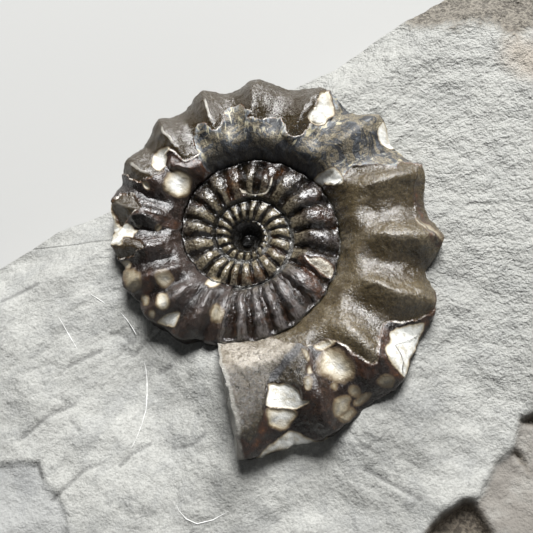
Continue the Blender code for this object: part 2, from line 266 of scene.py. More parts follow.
def rib_distance(angle, across):
    """0 on the crest of a rib and 1 midway between two."""
    phase = rib_phase(angle, across)
    return 2.0 * np.abs(phase - np.round(phase))


def by_age(angle, values):
    return np.interp(angle, np.radians(RIB_AGES_DEG), values)


def ridge(distance, sharpness, rounding=CREST_ROUNDING):
    fall = (np.hypot(distance, rounding) - rounding) / (math.hypot(1.0, rounding) - rounding)
    return np.clip(1.0 - fall, 0.0, 1.0) ** sharpness


def tip_crest(angle):
    """1 at the tip of a rib on the rim and 0 midway between two tips."""
    return ridge(rib_distance(angle, 1.0), TIP_SHARPNESS, TIP_ROUNDING)


def rib_crest(angle, across):
    """Height share of the ribs: uneven bars, then soft ribs, then keen ridges as the coil grows."""
    phase = rib_phase(angle, across)
    number = np.round(phase)
    distance = 2.0 * np.abs(phase - number)
    lift = 1.0 - BAR_UNEVENNESS * (0.5 + 0.5 * np.sin(number * BAR_LIFT_SPREAD))
    lean = 0.5 * BAR_UNEVENNESS * np.sin(number * BAR_LEAN_SPREAD) * 2.0 * (phase - number)
    bar = (lift + lean) * (1.0 - distance ** BAR_SHARPNESS)
    soft = ridge(distance, SOFT_SHARPNESS, SOFT_ROUNDING)
    keen = ridge(distance, RIDGE_SHARPNESS)
    return blend(blend(soft, bar, by_age(angle, BAR_SHARES)), keen, by_age(angle, KEEN_SHARES))


def open_rim(angle):
    return smooth_step(LAST_TURN, LAST_TURN + OPEN_RIM_RUN, angle)


def seam_radius(angle):
    return SEAM_RADIUS * np.exp(GROWTH_RATE * angle)


def place(angle, radius, height):
    offset = np.stack((radius * np.cos(angle), -radius * np.sin(angle), height), axis=-1)
    return COIL_CENTRE + offset


def mouth_lean(across):
    return MOUTH_LEAN * across + MOUTH_BOW * np.sin(math.pi * across)


def leaned(angle, across):
    return angle - smooth_step(MOUTH - MOUTH_LEAN_SPREAD, MOUTH, angle) * mouth_lean(across)


def rim_reach(angle):
    tip = TIP_REACH * np.interp(angle, RIBS[:, 0], RIBS[:, 2])
    dip = RIBS[np.clip(np.searchsorted(RIBS[:, 0], angle), 0, len(RIBS) - 1), 3]
    scalloped = tip * (1.0 - TROUGH_SHARE * dip * (1.0 - tip_crest(angle)))
    return blend(WHORL_EXPANSION, scalloped, open_rim(angle))


def groove(across):
    """The crevice along a seam, as a share of the seam radius at that side."""
    inner = np.exp(-(across / SEAM_GROOVE_WIDTH) ** 2)
    outer = np.exp(-((1.0 - across) / SEAM_GROOVE_WIDTH) ** 2)
    return SEAM_GROOVE * (inner + WHORL_EXPANSION * outer)


def flank_height(angle, across):
    between_seams = SEAM_HEIGHT * blend(1.0, WHORL_EXPANSION, across)
    last_turn = open_rim(angle)
    rounding = blend(FLANK_ROUNDING, LAST_TURN_FLANK_ROUNDING, last_turn)
    arch = (1.0 - (1.0 - across) ** WALL_STEEPNESS) * (1.0 - across ** rounding)
    delay = LAST_TURN_FADE_DELAY * by_age(angle, KEEN_SHARES)
    rise = smooth_step(RIB_FADE_START + delay, RIB_FADE_END + FADE_DELAY_STRETCH * delay, across)
    seam_fade = 1.0 - smooth_step(OUTER_FADE_START, OUTER_FADE_END, across)
    depth = by_age(angle, RIB_RELIEFS)
    grown = smooth_step(EYE_RIBS_START, EYE_RIBS_FULL, seam_radius(angle))
    relief = depth * rise * grown * blend(seam_fade, 1.0, last_turn)
    crevice = groove(across) * blend(1.0, across < 0.5, last_turn)
    return between_seams + FLANK_RISE * arch - relief * (1.0 - rib_crest(angle, across)) - crevice


def flank_point(angle, across, side=1.0):
    seam = seam_radius(angle)
    reach = blend(1.0, rim_reach(angle), across)
    return place(leaned(angle, across), seam * reach, side * seam * flank_height(angle, across))


def venter_point(angle, share):
    seam = seam_radius(angle)
    fill = VENTER_BULGE * (2.0 - tip_crest(angle)) * np.sin(math.pi * share)
    height = seam * flank_height(angle, 1.0) * np.cos(math.pi * share)
    return place(leaned(angle, 1.0), seam * (rim_reach(angle) + fill), height)


def wandered(grid):
    """The coil's surfaces wander a little sideways, the same way where two of them meet."""
    flat = from_centre(grid)
    flat[..., 2] = 0.0
    share = np.clip(np.linalg.norm(flat, axis=-1) / WANDER_FULL_RADIUS, WANDER_LEAST, 1.0)
    for axis, seed in enumerate(WANDER_SEEDS):
        broad = WANDER * rough(flat, WANDER_WAVE, seed)
        grid[..., axis] += share * (broad + CRINKLE * rough(flat, CRINKLE_WAVE, seed + 4.0, 2))
    above = np.maximum(grid[..., 2] - CROWN_LEVEL, 0.0)
    grid[..., 2] -= above - CROWN_ROOM * (1.0 - np.exp(-above / CROWN_ROOM))
    return grid


def growth_places(radius, across):
    """Where a point lies on the unrolled coil, in millimetres: along the turns and across them."""
    made = np.zeros((len(radius), len(across), 3))
    made[..., 0] = (radius / GROWTH_RATE)[:, None]
    made[..., 1] = radius[:, None] * across
    return made


def surface_normals(grid):
    along = np.gradient(grid, axis=0)
    across = np.gradient(grid, axis=1)
    normals = np.cross(across, along)
    return normals / np.maximum(np.linalg.norm(normals, axis=-1, keepdims=True), 1e-12)


# ---- Meshes ----------------------------------------------------------------------------

def sheet_mesh(name, grid, values):
    """A mesh over a grid of points (columns x rows), with its named values at each point."""
    columns, rows = grid.shape[:2]
    made = bmesh.new()
    bmesh.ops.create_grid(made, x_segments=columns - 1, y_segments=rows - 1, size=1.0)
    mesh = bpy.data.meshes.new(name)
    made.to_mesh(mesh)
    made.free()
    flat = np.zeros(len(mesh.vertices) * 3, np.float32)
    mesh.vertices.foreach_get("co", flat)
    corner = flat.reshape(-1, 3)
    column = np.round((corner[:, 0] + 1.0) / 2.0 * (columns - 1)).astype(int)
    row = np.round((corner[:, 1] + 1.0) / 2.0 * (rows - 1)).astype(int)
    mesh.vertices.foreach_set("co", grid[column, row].astype(np.float32).ravel())
    for key, value in values.items():
        kind = "FLOAT_VECTOR" if value.ndim == 3 else "FLOAT"
        layer = mesh.attributes.new(key, kind, "POINT")
        field = "vector" if value.ndim == 3 else "value"
        layer.data.foreach_set(field, value[column, row].astype(np.float32).ravel())
    return mesh


def close_loop(mesh, edges, steps):
    """Closes an open loop: copies of it move by each step, and the last copy draws in to a point."""
    for step in steps:
        made = bmesh.ops.extrude_edge_only(mesh, edges=edges)
        verts = [item for item in made["geom"] if isinstance(item, bmesh.types.BMVert)]
        edges = [item for item in made["geom"] if isinstance(item, bmesh.types.BMEdge)]
        edges = [edge for edge in edges if edge.is_boundary]
        if len(step) == 2:
            for vert in verts:
                vert.co.x = blend(COIL_CENTRE[0], vert.co.x, step[0])
                vert.co.y = blend(COIL_CENTRE[1], vert.co.y, step[0])
                vert.co.z += step[1]
        else:
            bmesh.ops.pointmerge(mesh, verts=verts, merge_co=Vector(step))


def finish_piece(name, mesh, material, node, closings=()):
    """Welds the sheet's own seams, closes its open loops, and hangs the piece on the frame."""
    made = bmesh.new()
    made.from_mesh(mesh)
    open_verts = [vert for vert in made.verts if vert.is_boundary]
    bmesh.ops.remove_doubles(made, verts=open_verts, dist=WELD_DISTANCE)
    for chooser, steps in closings:
        loop = [edge for edge in made.edges if edge.is_boundary and chooser(edge)]
        close_loop(made, loop, steps)
    bmesh.ops.recalc_face_normals(made, faces=made.faces)
    made.to_mesh(mesh)
    made.free()
    mesh.shade_smooth()
    mesh.set_sharp_from_angle(angle=SHARP_ANGLE)
    piece = bpy.data.objects.new(name, mesh)
    bpy.context.scene.collection.objects.link(piece)
    mesh.materials.append(material)
    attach(piece, "root")
    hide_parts(node)
    return piece


# ---- What the shell carries ------------------------------------------------------------
# Brown outer shell that is left, blue-black inner layer, calcite, rust and breaks.

SHELL_RIGHT = (
    (344, 178), (347, 173), (353, 166), (363, 166), (378, 166), (387, 168), (396, 167), (399, 162),
    (407, 163), (418, 167), (432, 172), (450, 230), (450, 300), (438, 306), (428, 316), (418, 320),
    (410, 321), (396, 322), (389, 322), (383, 325), (381, 333), (379, 340), (378, 352), (377, 362),
    (372, 364), (365, 361), (358, 357), (352, 352), (346, 346), (339, 341), (330, 339), (322, 341),
    (316, 347), (307, 347), (302, 344), (290, 345), (270, 340), (285, 326), (300, 305), (313, 285),
    (322, 262), (324, 236), (320, 208), (322, 192), (335, 186),
)
SHELL_TOP = (
    (336, 84), (310, 70), (250, 62), (190, 76), (140, 108), (110, 150), (106, 178), (122, 175),
    (129, 175), (130, 178), (135, 179), (142, 183), (144, 180), (151, 178), (158, 175), (163, 172),
    (167, 160), (168, 148), (173, 151), (178, 154), (182, 160), (185, 161), (191, 160), (199, 154),
    (196, 150), (195, 143), (194, 138), (197, 128), (199, 123), (204, 122), (212, 129), (216, 129),
    (220, 126), (225, 118), (223, 112), (228, 107), (235, 105), (241, 104), (245, 109), (252, 112),
    (248, 118), (263, 119), (281, 118), (283, 124), (289, 135), (292, 136), (301, 136), (307, 129),
    (311, 122), (318, 100),
)
SHELL_CHIP_UPPER = (
    (112, 203), (116, 199), (122, 195), (131, 194), (134, 197), (142, 207), (135, 211), (132, 213),
    (128, 219), (125, 223), (122, 228), (118, 224), (114, 214),
)
SHELL_CHIP_LOWER = (
    (112, 249), (117, 246), (126, 239), (134, 238), (139, 241), (145, 245), (138, 249), (135, 253),
    (134, 257), (127, 258), (120, 258), (113, 252),
)
BLUE_LAYER = (
    (206, 170), (199, 158), (196, 150), (195, 143), (194, 138), (197, 128), (199, 122), (204, 121),
    (212, 128), (216, 128), (220, 125), (225, 117), (223, 111), (228, 106), (235, 104), (241, 103),
    (245, 108), (252, 111), (248, 118), (263, 118), (281, 117), (283, 123), (289, 134), (292, 135),
    (301, 135), (307, 128), (311, 121), (322, 125), (331, 119), (334, 108), (329, 90), (338, 82),
    (352, 96), (380, 104), (400, 138), (426, 160), (412, 167), (397, 168), (378, 167), (354, 168),
    (346, 179), (332, 182), (312, 190), (296, 182), (270, 172), (240, 170), (218, 174),
)

PEARL = ((164, 184), (168, 175), (177, 171), (186, 175), (190, 184), (186, 193), (177, 197), (168, 193))
SMALL_PEARL = ((144, 185), (145, 182), (149, 182), (151, 185), (150, 188), (147, 188))
CREAM_LUMP = (
    (308, 116), (312, 110), (317, 104), (318, 98), (322, 92), (327, 91), (329, 95), (331, 103),
    (334, 111), (333, 116), (327, 118), (325, 123), (321, 125), (314, 124), (310, 121),
)
CREVICE_CALCITE = (
    (314, 181), (318, 175), (325, 170), (332, 167), (338, 170), (344, 175), (344, 180), (338, 184),
    (330, 185), (324, 184), (322, 188), (318, 185),
)
TOOTH = (
    (152, 166), (154, 157), (158, 151), (163, 148), (169, 147), (170, 150), (166, 153), (168, 156),
    (167, 160), (166, 166), (163, 169), (160, 171), (155, 170),
)
RIM_CALCITE = (
    (113, 246), (114, 240), (116, 234), (120, 230), (123, 225), (126, 223), (131, 225), (135, 229),
    (139, 231), (135, 235), (132, 238), (126, 238), (124, 241), (122, 245), (117, 246),
)
RIM_EDGE_CALCITE = (
    (109, 206), (113, 204), (114, 214), (118, 224), (122, 229), (118, 233), (112, 226), (108, 215),
)
OVAL_UPPER = (
    (157, 278), (159, 274), (164, 272), (169, 274), (172, 278), (169, 283), (164, 285), (159, 283),
)
OVAL_LOWER = (
    (157, 301), (160, 296), (164, 294), (168, 297), (169, 303), (167, 307), (162, 309), (158, 306),
)
WEDGE = ((159, 320), (167, 314), (174, 311), (180, 312), (181, 317), (177, 326), (171, 325), (164, 323))
OVAL_BOTTOM = (
    (211, 314), (213, 308), (217, 306), (221, 308), (223, 314), (221, 319), (217, 321), (213, 319),
)
SEAM_SPOT = (
    (206, 284), (208, 280), (213, 278), (218, 280), (220, 284), (217, 288), (212, 290), (208, 288),
)
RIM_WINDOW = ((127, 273), (132, 272), (138, 275), (140, 279), (139, 286), (133, 288), (128, 281))
RIM_SPOT_UPPER = ((123, 262), (127, 261), (131, 264), (131, 269), (128, 270), (125, 267))
RIM_SPOT_LOWER = ((142, 296), (146, 295), (149, 300), (148, 304), (145, 303))
RIM_SPOT_LOWEST = ((151, 311), (155, 310), (156, 314), (155, 316), (152, 315))
HOLLOW_SPOT = ((155, 227), (158, 224), (160, 227), (158, 230))
MOUTH_CALCITE = (
    (268, 386), (273, 385), (280, 384), (287, 382), (292, 385), (296, 389), (299, 394), (303, 398),
    (309, 400), (304, 404), (299, 406), (294, 408), (284, 408), (276, 407), (271, 407), (267, 405),
    (266, 401), (267, 394),
)
MOUTH_CALCITE_LOWER = (
    (269, 409), (275, 408), (284, 409), (294, 411), (296, 414), (292, 422), (288, 427), (281, 428),
    (272, 426), (269, 423), (268, 415),
)
ROUND_CALCITE = (
    (320, 359), (325, 352), (333, 350), (341, 352), (348, 358), (352, 366), (351, 374), (345, 379),
    (337, 381), (328, 377), (321, 373), (319, 366),
)
FLAKE_CALCITE = (
    (315, 348), (322, 342), (330, 340), (336, 340), (333, 344), (327, 348), (322, 351), (317, 351),
)
RIM_WEDGE = (
    (393, 330), (400, 326), (407, 325), (416, 324), (423, 323), (420, 335), (415, 345), (411, 355),
    (407, 366), (404, 377), (399, 373), (394, 367), (390, 363), (386, 358), (384, 349), (388, 344),
    (390, 340), (389, 335),
)
LOW_SPOTS = (
    ((379, 379), (382, 375), (388, 374), (392, 378), (390, 383), (383, 384)),
    ((349, 389), (353, 385), (358, 388), (358, 393), (352, 394)),
    ((331, 386), (334, 384), (336, 387), (334, 389)),
    ((353, 404), (357, 398), (364, 395), (370, 393), (366, 399), (359, 403)),
    ((333, 405), (335, 400), (341, 397), (348, 397), (347, 403), (344, 411), (338, 416), (334, 413)),
    ((339, 418), (343, 413), (349, 408), (353, 411), (349, 417), (343, 422)),
)
BOTTOM_STRIP = (
    (246, 463), (253, 459), (260, 453), (268, 446), (276, 440), (284, 433), (293, 431), (306, 436),
    (319, 439), (327, 436), (327, 441), (311, 444), (296, 447), (281, 448), (268, 453), (258, 460),
)
RIM_STRIP = ((377, 131), (382, 123), (386, 131), (392, 144), (394, 150), (388, 148), (381, 143))

RIGHT_RIM_STRIP = (
    (416, 217), (420, 221), (427, 224), (433, 228), (438, 234), (443, 240), (439, 238), (433, 232),
    (428, 229), (424, 228), (419, 224),
)
STUB_CRUMBS = (
    ((301, 351), (305, 352), (308, 359), (306, 362), (303, 357)),
    ((308, 366), (311, 368), (312, 374), (309, 373)),
    ((306, 378), (310, 377), (312, 383), (309, 389), (306, 385)),
)

RUST_HOLLOW = (
    (172, 154), (178, 157), (185, 162), (199, 158), (204, 159), (209, 168), (208, 175), (203, 182),
    (193, 179), (189, 177), (185, 172), (178, 170), (170, 170), (169, 160),
)
RUST_SHADOW = (
    (131, 215), (136, 211), (145, 211), (151, 213), (158, 217), (169, 221), (177, 224), (176, 229),
    (169, 229), (159, 223), (151, 217), (145, 214), (135, 214),
)
RUST_MOUTH = (
    (232, 404), (238, 428), (246, 441), (254, 441), (257, 430), (264, 415), (266, 408), (268, 412),
    (268, 424), (262, 440), (250, 452), (240, 458), (234, 430),
)
RUST_FLAKE = (
    (350, 352), (358, 358), (366, 362), (377, 363), (379, 370), (374, 374), (362, 374), (354, 368),
)
RUST_WEDGE = (
    (379, 335), (384, 327), (390, 340), (386, 350), (386, 360), (396, 370), (404, 384), (396, 378),
    (384, 362), (378, 350),
)
RUST_RIM = (
    (414, 186), (418, 184), (419, 204), (424, 216), (434, 228), (442, 240), (440, 246), (436, 246),
    (424, 228), (416, 210),
)
RUST_TIP = (
    (434, 292), (440, 294), (442, 306), (436, 322), (426, 334), (418, 340), (414, 334), (420, 322),
    (430, 312), (436, 302),
)
RUST_LOWER_LEFT = (
    (140, 281), (145, 277), (151, 274), (156, 274), (155, 280), (153, 287), (148, 294), (142, 295),
    (139, 289),
)
RUST_STREAK = ((222, 322), (230, 320), (236, 332), (236, 345), (226, 347), (221, 336))
RUST_STUB = ((302, 346), (306, 350), (311, 362), (312, 374), (309, 382), (307, 372), (303, 358))

SEDIMENT = (
    (210, 346), (240, 340), (270, 334), (290, 330), (304, 340), (306, 352), (306, 370), (307, 384),
    (298, 384), (286, 380), (274, 383), (265, 388), (265, 402), (264, 412), (258, 424), (253, 438),
    (248, 441), (243, 436), (232, 428), (214, 404), (204, 375),
)
DARK_BAND_LINE = ((308, 338), (301, 345), (292, 356), (281, 369), (272, 380))
DARK_HOLLOW = (
    (131, 218), (135, 213), (145, 213), (151, 216), (159, 222), (156, 227), (148, 229), (140, 227),
    (134, 225),
)

# Outline, rise in mm, whether it domes, tone from 0 white to 1 dull, softness of its border in mm.
CALCITE = (
    (PEARL, 0.42, True, 0.0, 0.27), (SMALL_PEARL, 0.30, True, 0.3, 0.14),
    (CREAM_LUMP, 0.22, False, 0.1, 0.12), (CREVICE_CALCITE, 0.30, True, 0.0, 0.08),
    (TOOTH, 0.45, True, 0.0, 0.09), (RIM_CALCITE, 0.05, False, 0.0, 0.07),
    (RIM_EDGE_CALCITE, 0.0, False, 0.0, 0.07), (OVAL_UPPER, 0.10, True, 0.45, 0.34),
    (OVAL_LOWER, 0.12, True, 0.0, 0.20), (WEDGE, 0.08, False, 0.15, 0.11),
    (OVAL_BOTTOM, 0.05, True, 0.45, 0.38),
    (SEAM_SPOT, 0.18, True, 0.0, 0.12), (RIM_WINDOW, 0.0, False, 1.0, 0.42),
    (RIM_SPOT_UPPER, 0.0, False, 0.6, 0.14),
    (RIM_SPOT_LOWER, 0.0, False, 0.6, 0.18), (RIM_SPOT_LOWEST, 0.0, False, 0.5, 0.16),
    (HOLLOW_SPOT, 0.0, False, 1.0, 0.18), (MOUTH_CALCITE, 0.22, False, 0.0, 0.09),
    (MOUTH_CALCITE_LOWER, 0.10, False, 0.0, 0.26), (ROUND_CALCITE, 0.18, True, 0.0, 0.55),
    (FLAKE_CALCITE, 0.15, False, 0.1, 0.20), (RIM_WEDGE, 0.0, False, 0.0, 0.08),
    (BOTTOM_STRIP, 0.0, False, 0.1, 0.10),
    (RIM_STRIP, 0.05, False, 0.0, 0.06), (RIGHT_RIM_STRIP, 0.05, False, 0.6, 0.16),
) + tuple((spot, 0.0, False, 0.75, 0.30) for spot in LOW_SPOTS) + tuple(
    (crumb, 0.10, False, 0.5, 0.16) for crumb in STUB_CRUMBS)
RUST = (
    RUST_HOLLOW, RUST_SHADOW, RUST_MOUTH, RUST_FLAKE, RUST_WEDGE, RUST_RIM, RUST_TIP, RUST_LOWER_LEFT,
    RUST_STREAK, RUST_STUB,
)
CRACKS = (
    ((266, 406), (271, 407), (277, 407), (284, 408), (292, 410), (297, 412)),
    ((393, 346), (398, 355), (401, 365), (401, 373)), ((393, 346), (400, 343), (407, 340), (415, 335)),
    ((134, 197), (142, 207)), ((352, 166), (363, 166), (378, 165), (387, 168), (396, 167)),
    (
        (417, 168), (415, 177), (414, 189), (415, 199), (415, 215), (418, 220), (426, 227), (433, 233),
        (437, 241),
    ),
)


# Relief of what the last turn carries, and the distance that stands for far outside, in millimetres.
RUST_HOLLOW_DEPTH = 0.55
SUNKEN_DEPTH = 0.30
CRACK_DEPTH = 0.10
SILT_WRINKLES = 0.05
OUTSIDE = -9.0


def last_turn_values(grid, upper):
    """Masks in millimetres and shares, and the relief that the layers add, for the last turn."""
    places = to_frame(grid)
    local = from_centre(grid)
    ragged = 0.10 * rough(local, 0.9, 3.0) + 0.05 * rough(local, 0.3, 9.0, 2)
    shell = np.full(places.shape[:-1], OUTSIDE)
    for outline in (SHELL_RIGHT, SHELL_TOP, SHELL_CHIP_UPPER, SHELL_CHIP_LOWER):
        shell = np.maximum(shell, inside(places, outline, smooth=False))
    shell += ragged
    blue = inside(places, BLUE_LAYER, smooth=False) + ragged
    calcite = np.full(shell.shape, OUTSIDE)
    tone = np.zeros(shell.shape)
    soft = np.full(shell.shape, 0.1)
    half_run = EDGE_RUN / 2.0
    bare_blue = np.minimum(blue, -shell)
    relief = -SHELL_THICKNESS * (1.0 - smooth_step(-half_run, half_run, shell))
    relief += (SHELL_THICKNESS - INNER_LAYER_DEPTH) * smooth_step(-half_run, half_run, bare_blue)
    for outline, rise, dome, shade, border in CALCITE:
        depth = inside(places, outline) + 0.5 * ragged
        tone = np.where(depth > calcite, shade, tone)
        soft = np.where(depth > calcite, border, soft)
        calcite = np.maximum(calcite, depth)
        if dome:
            reach = max(depth.max(), 0.1)
            relief += rise * smooth_step(-0.1 * reach, 0.8 * reach, depth) * upper
        else:
            relief += rise * smooth_step(-0.05, EDGE_RUN, depth) * upper
    rust = np.zeros(shell.shape)
    for outline in RUST:
        rust = np.maximum(rust, smooth_step(-0.35, 0.30, inside(places, outline) + 2.0 * ragged))
    relief -= RUST_HOLLOW_DEPTH * smooth_step(0.0, 0.8, inside(places, RUST_HOLLOW))
    sunken = smooth_step(-0.30, 0.40, inside(places, DARK_HOLLOW) + 2.5 * ragged)
    relief -= SUNKEN_DEPTH * sunken
    crack = np.full(shell.shape, -OUTSIDE)
    for line in CRACKS:
        crack = np.minimum(crack, beside(places, line) + 0.3 * np.abs(ragged))
    relief -= CRACK_DEPTH * (1.0 - smooth_step(0.05, 0.16, crack))
    sediment = inside(places, SEDIMENT) + ragged
    dark_band = beside(places, DARK_BAND_LINE) + ragged
    cast = 1.0 - smooth_step(-0.1, 0.1, np.maximum(shell, blue))
    relief += 0.035 * rough(local, 2.6, 1.0) + (0.014 - 0.006 * cast) * rough(local, 0.7, 5.0)
    relief += 0.008 * cast * rough(local, 1.3, 7.0)
    relief += SILT_WRINKLES * smooth_step(-0.2, 0.4, sediment) * rough(local, 0.8, 11.0)
    return relief, {"shell": shell, "blue": blue, "calcite": calcite, "tone": tone, "soft": soft,
                    "rust": rust, "crack": crack, "sediment": sediment, "dark_band": dark_band,
                    "sunken": sunken}


# ---- The last turn -------------------------------------------------------------------

# Sizes of the sections that draw each end in to a point, and the uneven broken end in millimetres.
START_SHARES = (0.0, 0.5)
PLAIN_END_SHARES = (0.5, 0.0)
BROKEN_END_SHARES = (0.97, 0.92, 0.85, 0.76, 0.66, 0.55, 0.44, 0.33, 0.22, 0.11, 0.0)
BREAK_SWELL = 0.35
BREAK_BUMPS = 0.30
BREAK_WAVE = 1.6
BREAK_AHEAD_COLUMNS = 8
BARE_AT_BREAK = -0.4
# How finely the two pieces of the last turn are divided.
EARLY_COLUMNS = 560
EARLY_ROWS = 92
LATE_COLUMNS = 660
LATE_ROWS = 106
VENTER_ROWS = 22
LOWER_ROWS = 14


def row_steps(upper_rows):
    """(kind, share) of each row round the whorl's section, from the upper seam to the lower one."""
    rows = [("upper", share) for share in np.linspace(0.0, 1.0, upper_rows)]
    rows += [("venter", share) for share in np.linspace(0.0, 1.0, VENTER_ROWS + 1)[1:]]
    rows += [("lower", share) for share in np.linspace(1.0, 0.0, LOWER_ROWS + 1)[1:]]
    return rows


def section(angle, rows):
    points = []
    for kind, share in rows:
        if kind == "venter":
            points.append(venter_point(angle, share))
        else:
            side = 1.0 if kind == "upper" else -1.0
            points.append(flank_point(angle, np.full(angle.shape, share), side))
    return np.stack(points, axis=1)


def whorl_piece(name, first, last, columns, rows, material, broken_end):
    angle = np.linspace(first, last, columns)
    grid = section(angle, rows)
    upper = np.array([{"upper": 1.0, "venter": 1.0 - share, "lower": 0.0}[kind] for kind, share in rows])
    across = np.array([share if kind != "venter" else 1.0 for kind, share in rows])
    relief, values = last_turn_values(grid, upper)
    fade = smooth_step(0.0, SEAM_FADE, across) * (upper > 0.0)
    grid = grid + surface_normals(grid) * (relief * fade * MM)[..., None]
    seam = seam_radius(angle) / MM
    values["growth"] = growth_places(seam, across)
    values["age"] = np.degrees(angle)[:, None] + 0.0 * across
    values["crest"] = rib_crest(angle[:, None], across)
    values["seam"] = seam[:, None] * across * (WHORL_EXPANSION - 1.0)
    grid, values = with_caps(wandered(grid), values, broken_end)
    grid = np.concatenate((grid, grid[:, :1]), axis=1)
    values = {key: np.concatenate((value, value[:, :1]), axis=1) for key, value in values.items()}
    mesh = sheet_mesh(name, grid, values)
    return finish_piece(name, mesh, material, "ammonite")


def with_caps(grid, values, broken_end):
    """Adds columns that draw each end's section in to its middle. The broken end is uneven."""
    def drawn_in(section_points, share):
        middle = section_points.mean(axis=0)
        return middle + (section_points - middle) * share

    start = [drawn_in(grid[0], share) for share in START_SHARES]
    end = []
    ahead = grid[-1].mean(axis=0) - grid[-BREAK_AHEAD_COLUMNS].mean(axis=0)
    ahead = ahead / np.linalg.norm(ahead)
    for share in BROKEN_END_SHARES if broken_end else PLAIN_END_SHARES:
        ring = drawn_in(grid[-1], share)
        if broken_end:
            bumps = rough(from_centre(ring), BREAK_WAVE, 21.0)
            swell = BREAK_SWELL * (1.0 - share) + BREAK_BUMPS * bumps * (1.0 - share ** 8)
            ring = ring + ahead * (MM * swell)[..., None]
        end.append(ring)
    full = np.concatenate((np.stack(start), grid, np.stack(end)))
    new_values = {}
    for key, value in values.items():
        first = np.repeat(value[:1], len(start), axis=0)
        final = np.repeat(value[-1:], len(end), axis=0)
        if broken_end and key in ("shell", "blue", "calcite"):
            final = np.minimum(final, BARE_AT_BREAK)
        new_values[key] = np.concatenate((first, value, final))
    return full, new_values


# ---- The inner turns -----------------------------------------------------------------

FLAKE_DOME = (
    (238, 166), (252, 163), (264, 165), (269, 175), (268, 188), (262, 195), (252, 197), (243, 195),
    (239, 186),
)
FLAKE_LIP = ((241, 188), (245, 193), (252, 195.5), (259, 195), (266, 193), (269, 188), (272, 178))
CREAM_SHARD = (
    (304, 254), (310, 257), (320, 257), (331, 264), (335, 271), (331, 277), (318, 271), (308, 262),
)
RUST_RIB = ((303, 264), (316, 276), (318, 285), (335, 300), (330, 312), (318, 300), (306, 280))
BROWN_WINDOW = ((228, 172), (238, 168), (241, 186), (246, 198), (232, 204), (226, 190))
INNER_RUST = ((300, 255), (306, 262), (314, 274), (306, 270), (298, 262))
FLAKE_RISE = 0.20
SHARD_RISE = 0.16
EYE_DEPTH = 2.0 * MM
EYE_RUN = (0.9, 2.5)
INNER_COLUMNS_PER_TURN = 560
INNER_ROWS = 46
EYE_LIMIT = 2.3
INNER_FOOT = -0.0035
INNER_FOOT_SHARE = 0.99


def inner_turn_values(grid):
    places = to_frame(grid)
    local = from_centre(grid)
    ragged = 0.06 * rough(local, 0.7, 3.0) + 0.03 * rough(local, 0.25, 9.0, 2)
    dome = inside(places, FLAKE_DOME) + ragged
    shard = inside(places, CREAM_SHARD) + ragged
    spot = inside(places, SEAM_SPOT) + ragged
    rust = smooth_step(-0.35, 0.25, inside(places, RUST_RIB) + 2.0 * ragged)
    rust = np.maximum(rust, 0.8 * smooth_step(-0.3, 0.3, inside(places, INNER_RUST) + ragged))
    rust = np.maximum(rust, 0.5 * smooth_step(-0.3, 0.3, inside(places, BROWN_WINDOW) + ragged))
    relief = FLAKE_RISE * smooth_step(-0.03, 0.12, dome) + SHARD_RISE * smooth_step(-0.03, 0.12, shard)
    radius = np.linalg.norm(local[..., :2], axis=-1)
    fine = np.clip(radius / 14.0, 0.15, 1.0)
    relief += fine * (0.115 * rough(local, 1.1, 1.0) + 0.060 * rough(local, 0.42, 5.0))
    lip = beside(places, FLAKE_LIP) + 0.3 * np.abs(ragged)
    grout = smooth_step(1.0, -4.0, local[..., 1] - 0.5 * local[..., 0])
    return relief, {"lip": lip, "shard": shard, "spot": spot, "rust": rust, "radius": radius,
                    "grout": grout}


def inner_piece(material):
    columns = round(INNER_TURNS * INNER_COLUMNS_PER_TURN) + 1
    angle = LAST_TURN - FULL_TURN / INNER_COLUMNS_PER_TURN * np.arange(columns - 1, -1, -1)
    share = np.linspace(0.0, 1.0, INNER_ROWS)
    grid = flank_point(angle[:, None], share[None, :] + 0.0 * angle[:, None])
    relief, values = inner_turn_values(grid)
    fade = smooth_step(0.0, SEAM_FADE, share) * smooth_step(0.0, SEAM_FADE, 1.0 - share)
    grid = grid + surface_normals(grid) * (relief * fade * MM)[..., None]
    grid[..., 2] -= EYE_DEPTH * (1.0 - smooth_step(*EYE_RUN, values["radius"]))
    grid = wandered(grid)
    seam = seam_radius(angle) / MM
    values["growth"] = growth_places(seam, share)
    values["crest"] = rib_crest(angle[:, None], share)
    values["age"] = np.degrees(angle)[:, None] + 0.0 * share
    edge = np.minimum(share, (1.0 - share) * WHORL_EXPANSION)
    values["seam"] = seam[:, None] * edge * (WHORL_EXPANSION - 1.0)
    mesh = sheet_mesh("inner_whorls", grid, values)
    eye_limit = seam_radius(angle[0]) * EYE_LIMIT

    def at_eye(edge):
        middle = (edge.verts[0].co + edge.verts[1].co) / 2.0
        return math.hypot(middle.x - COIL_CENTRE[0], middle.y - COIL_CENTRE[1]) < eye_limit

    eye = place(np.array(0.0), np.array(0.0), seam_radius(angle[0]) * SEAM_HEIGHT)
    foot = place(np.array(0.0), np.array(0.0), np.array(INNER_FOOT))
    closings = ((at_eye, (tuple(eye),)),
                (lambda edge: not at_eye(edge), ((INNER_FOOT_SHARE, INNER_FOOT), tuple(foot))))
    return finish_piece("inner_whorls", mesh, material, "ammonite", closings)


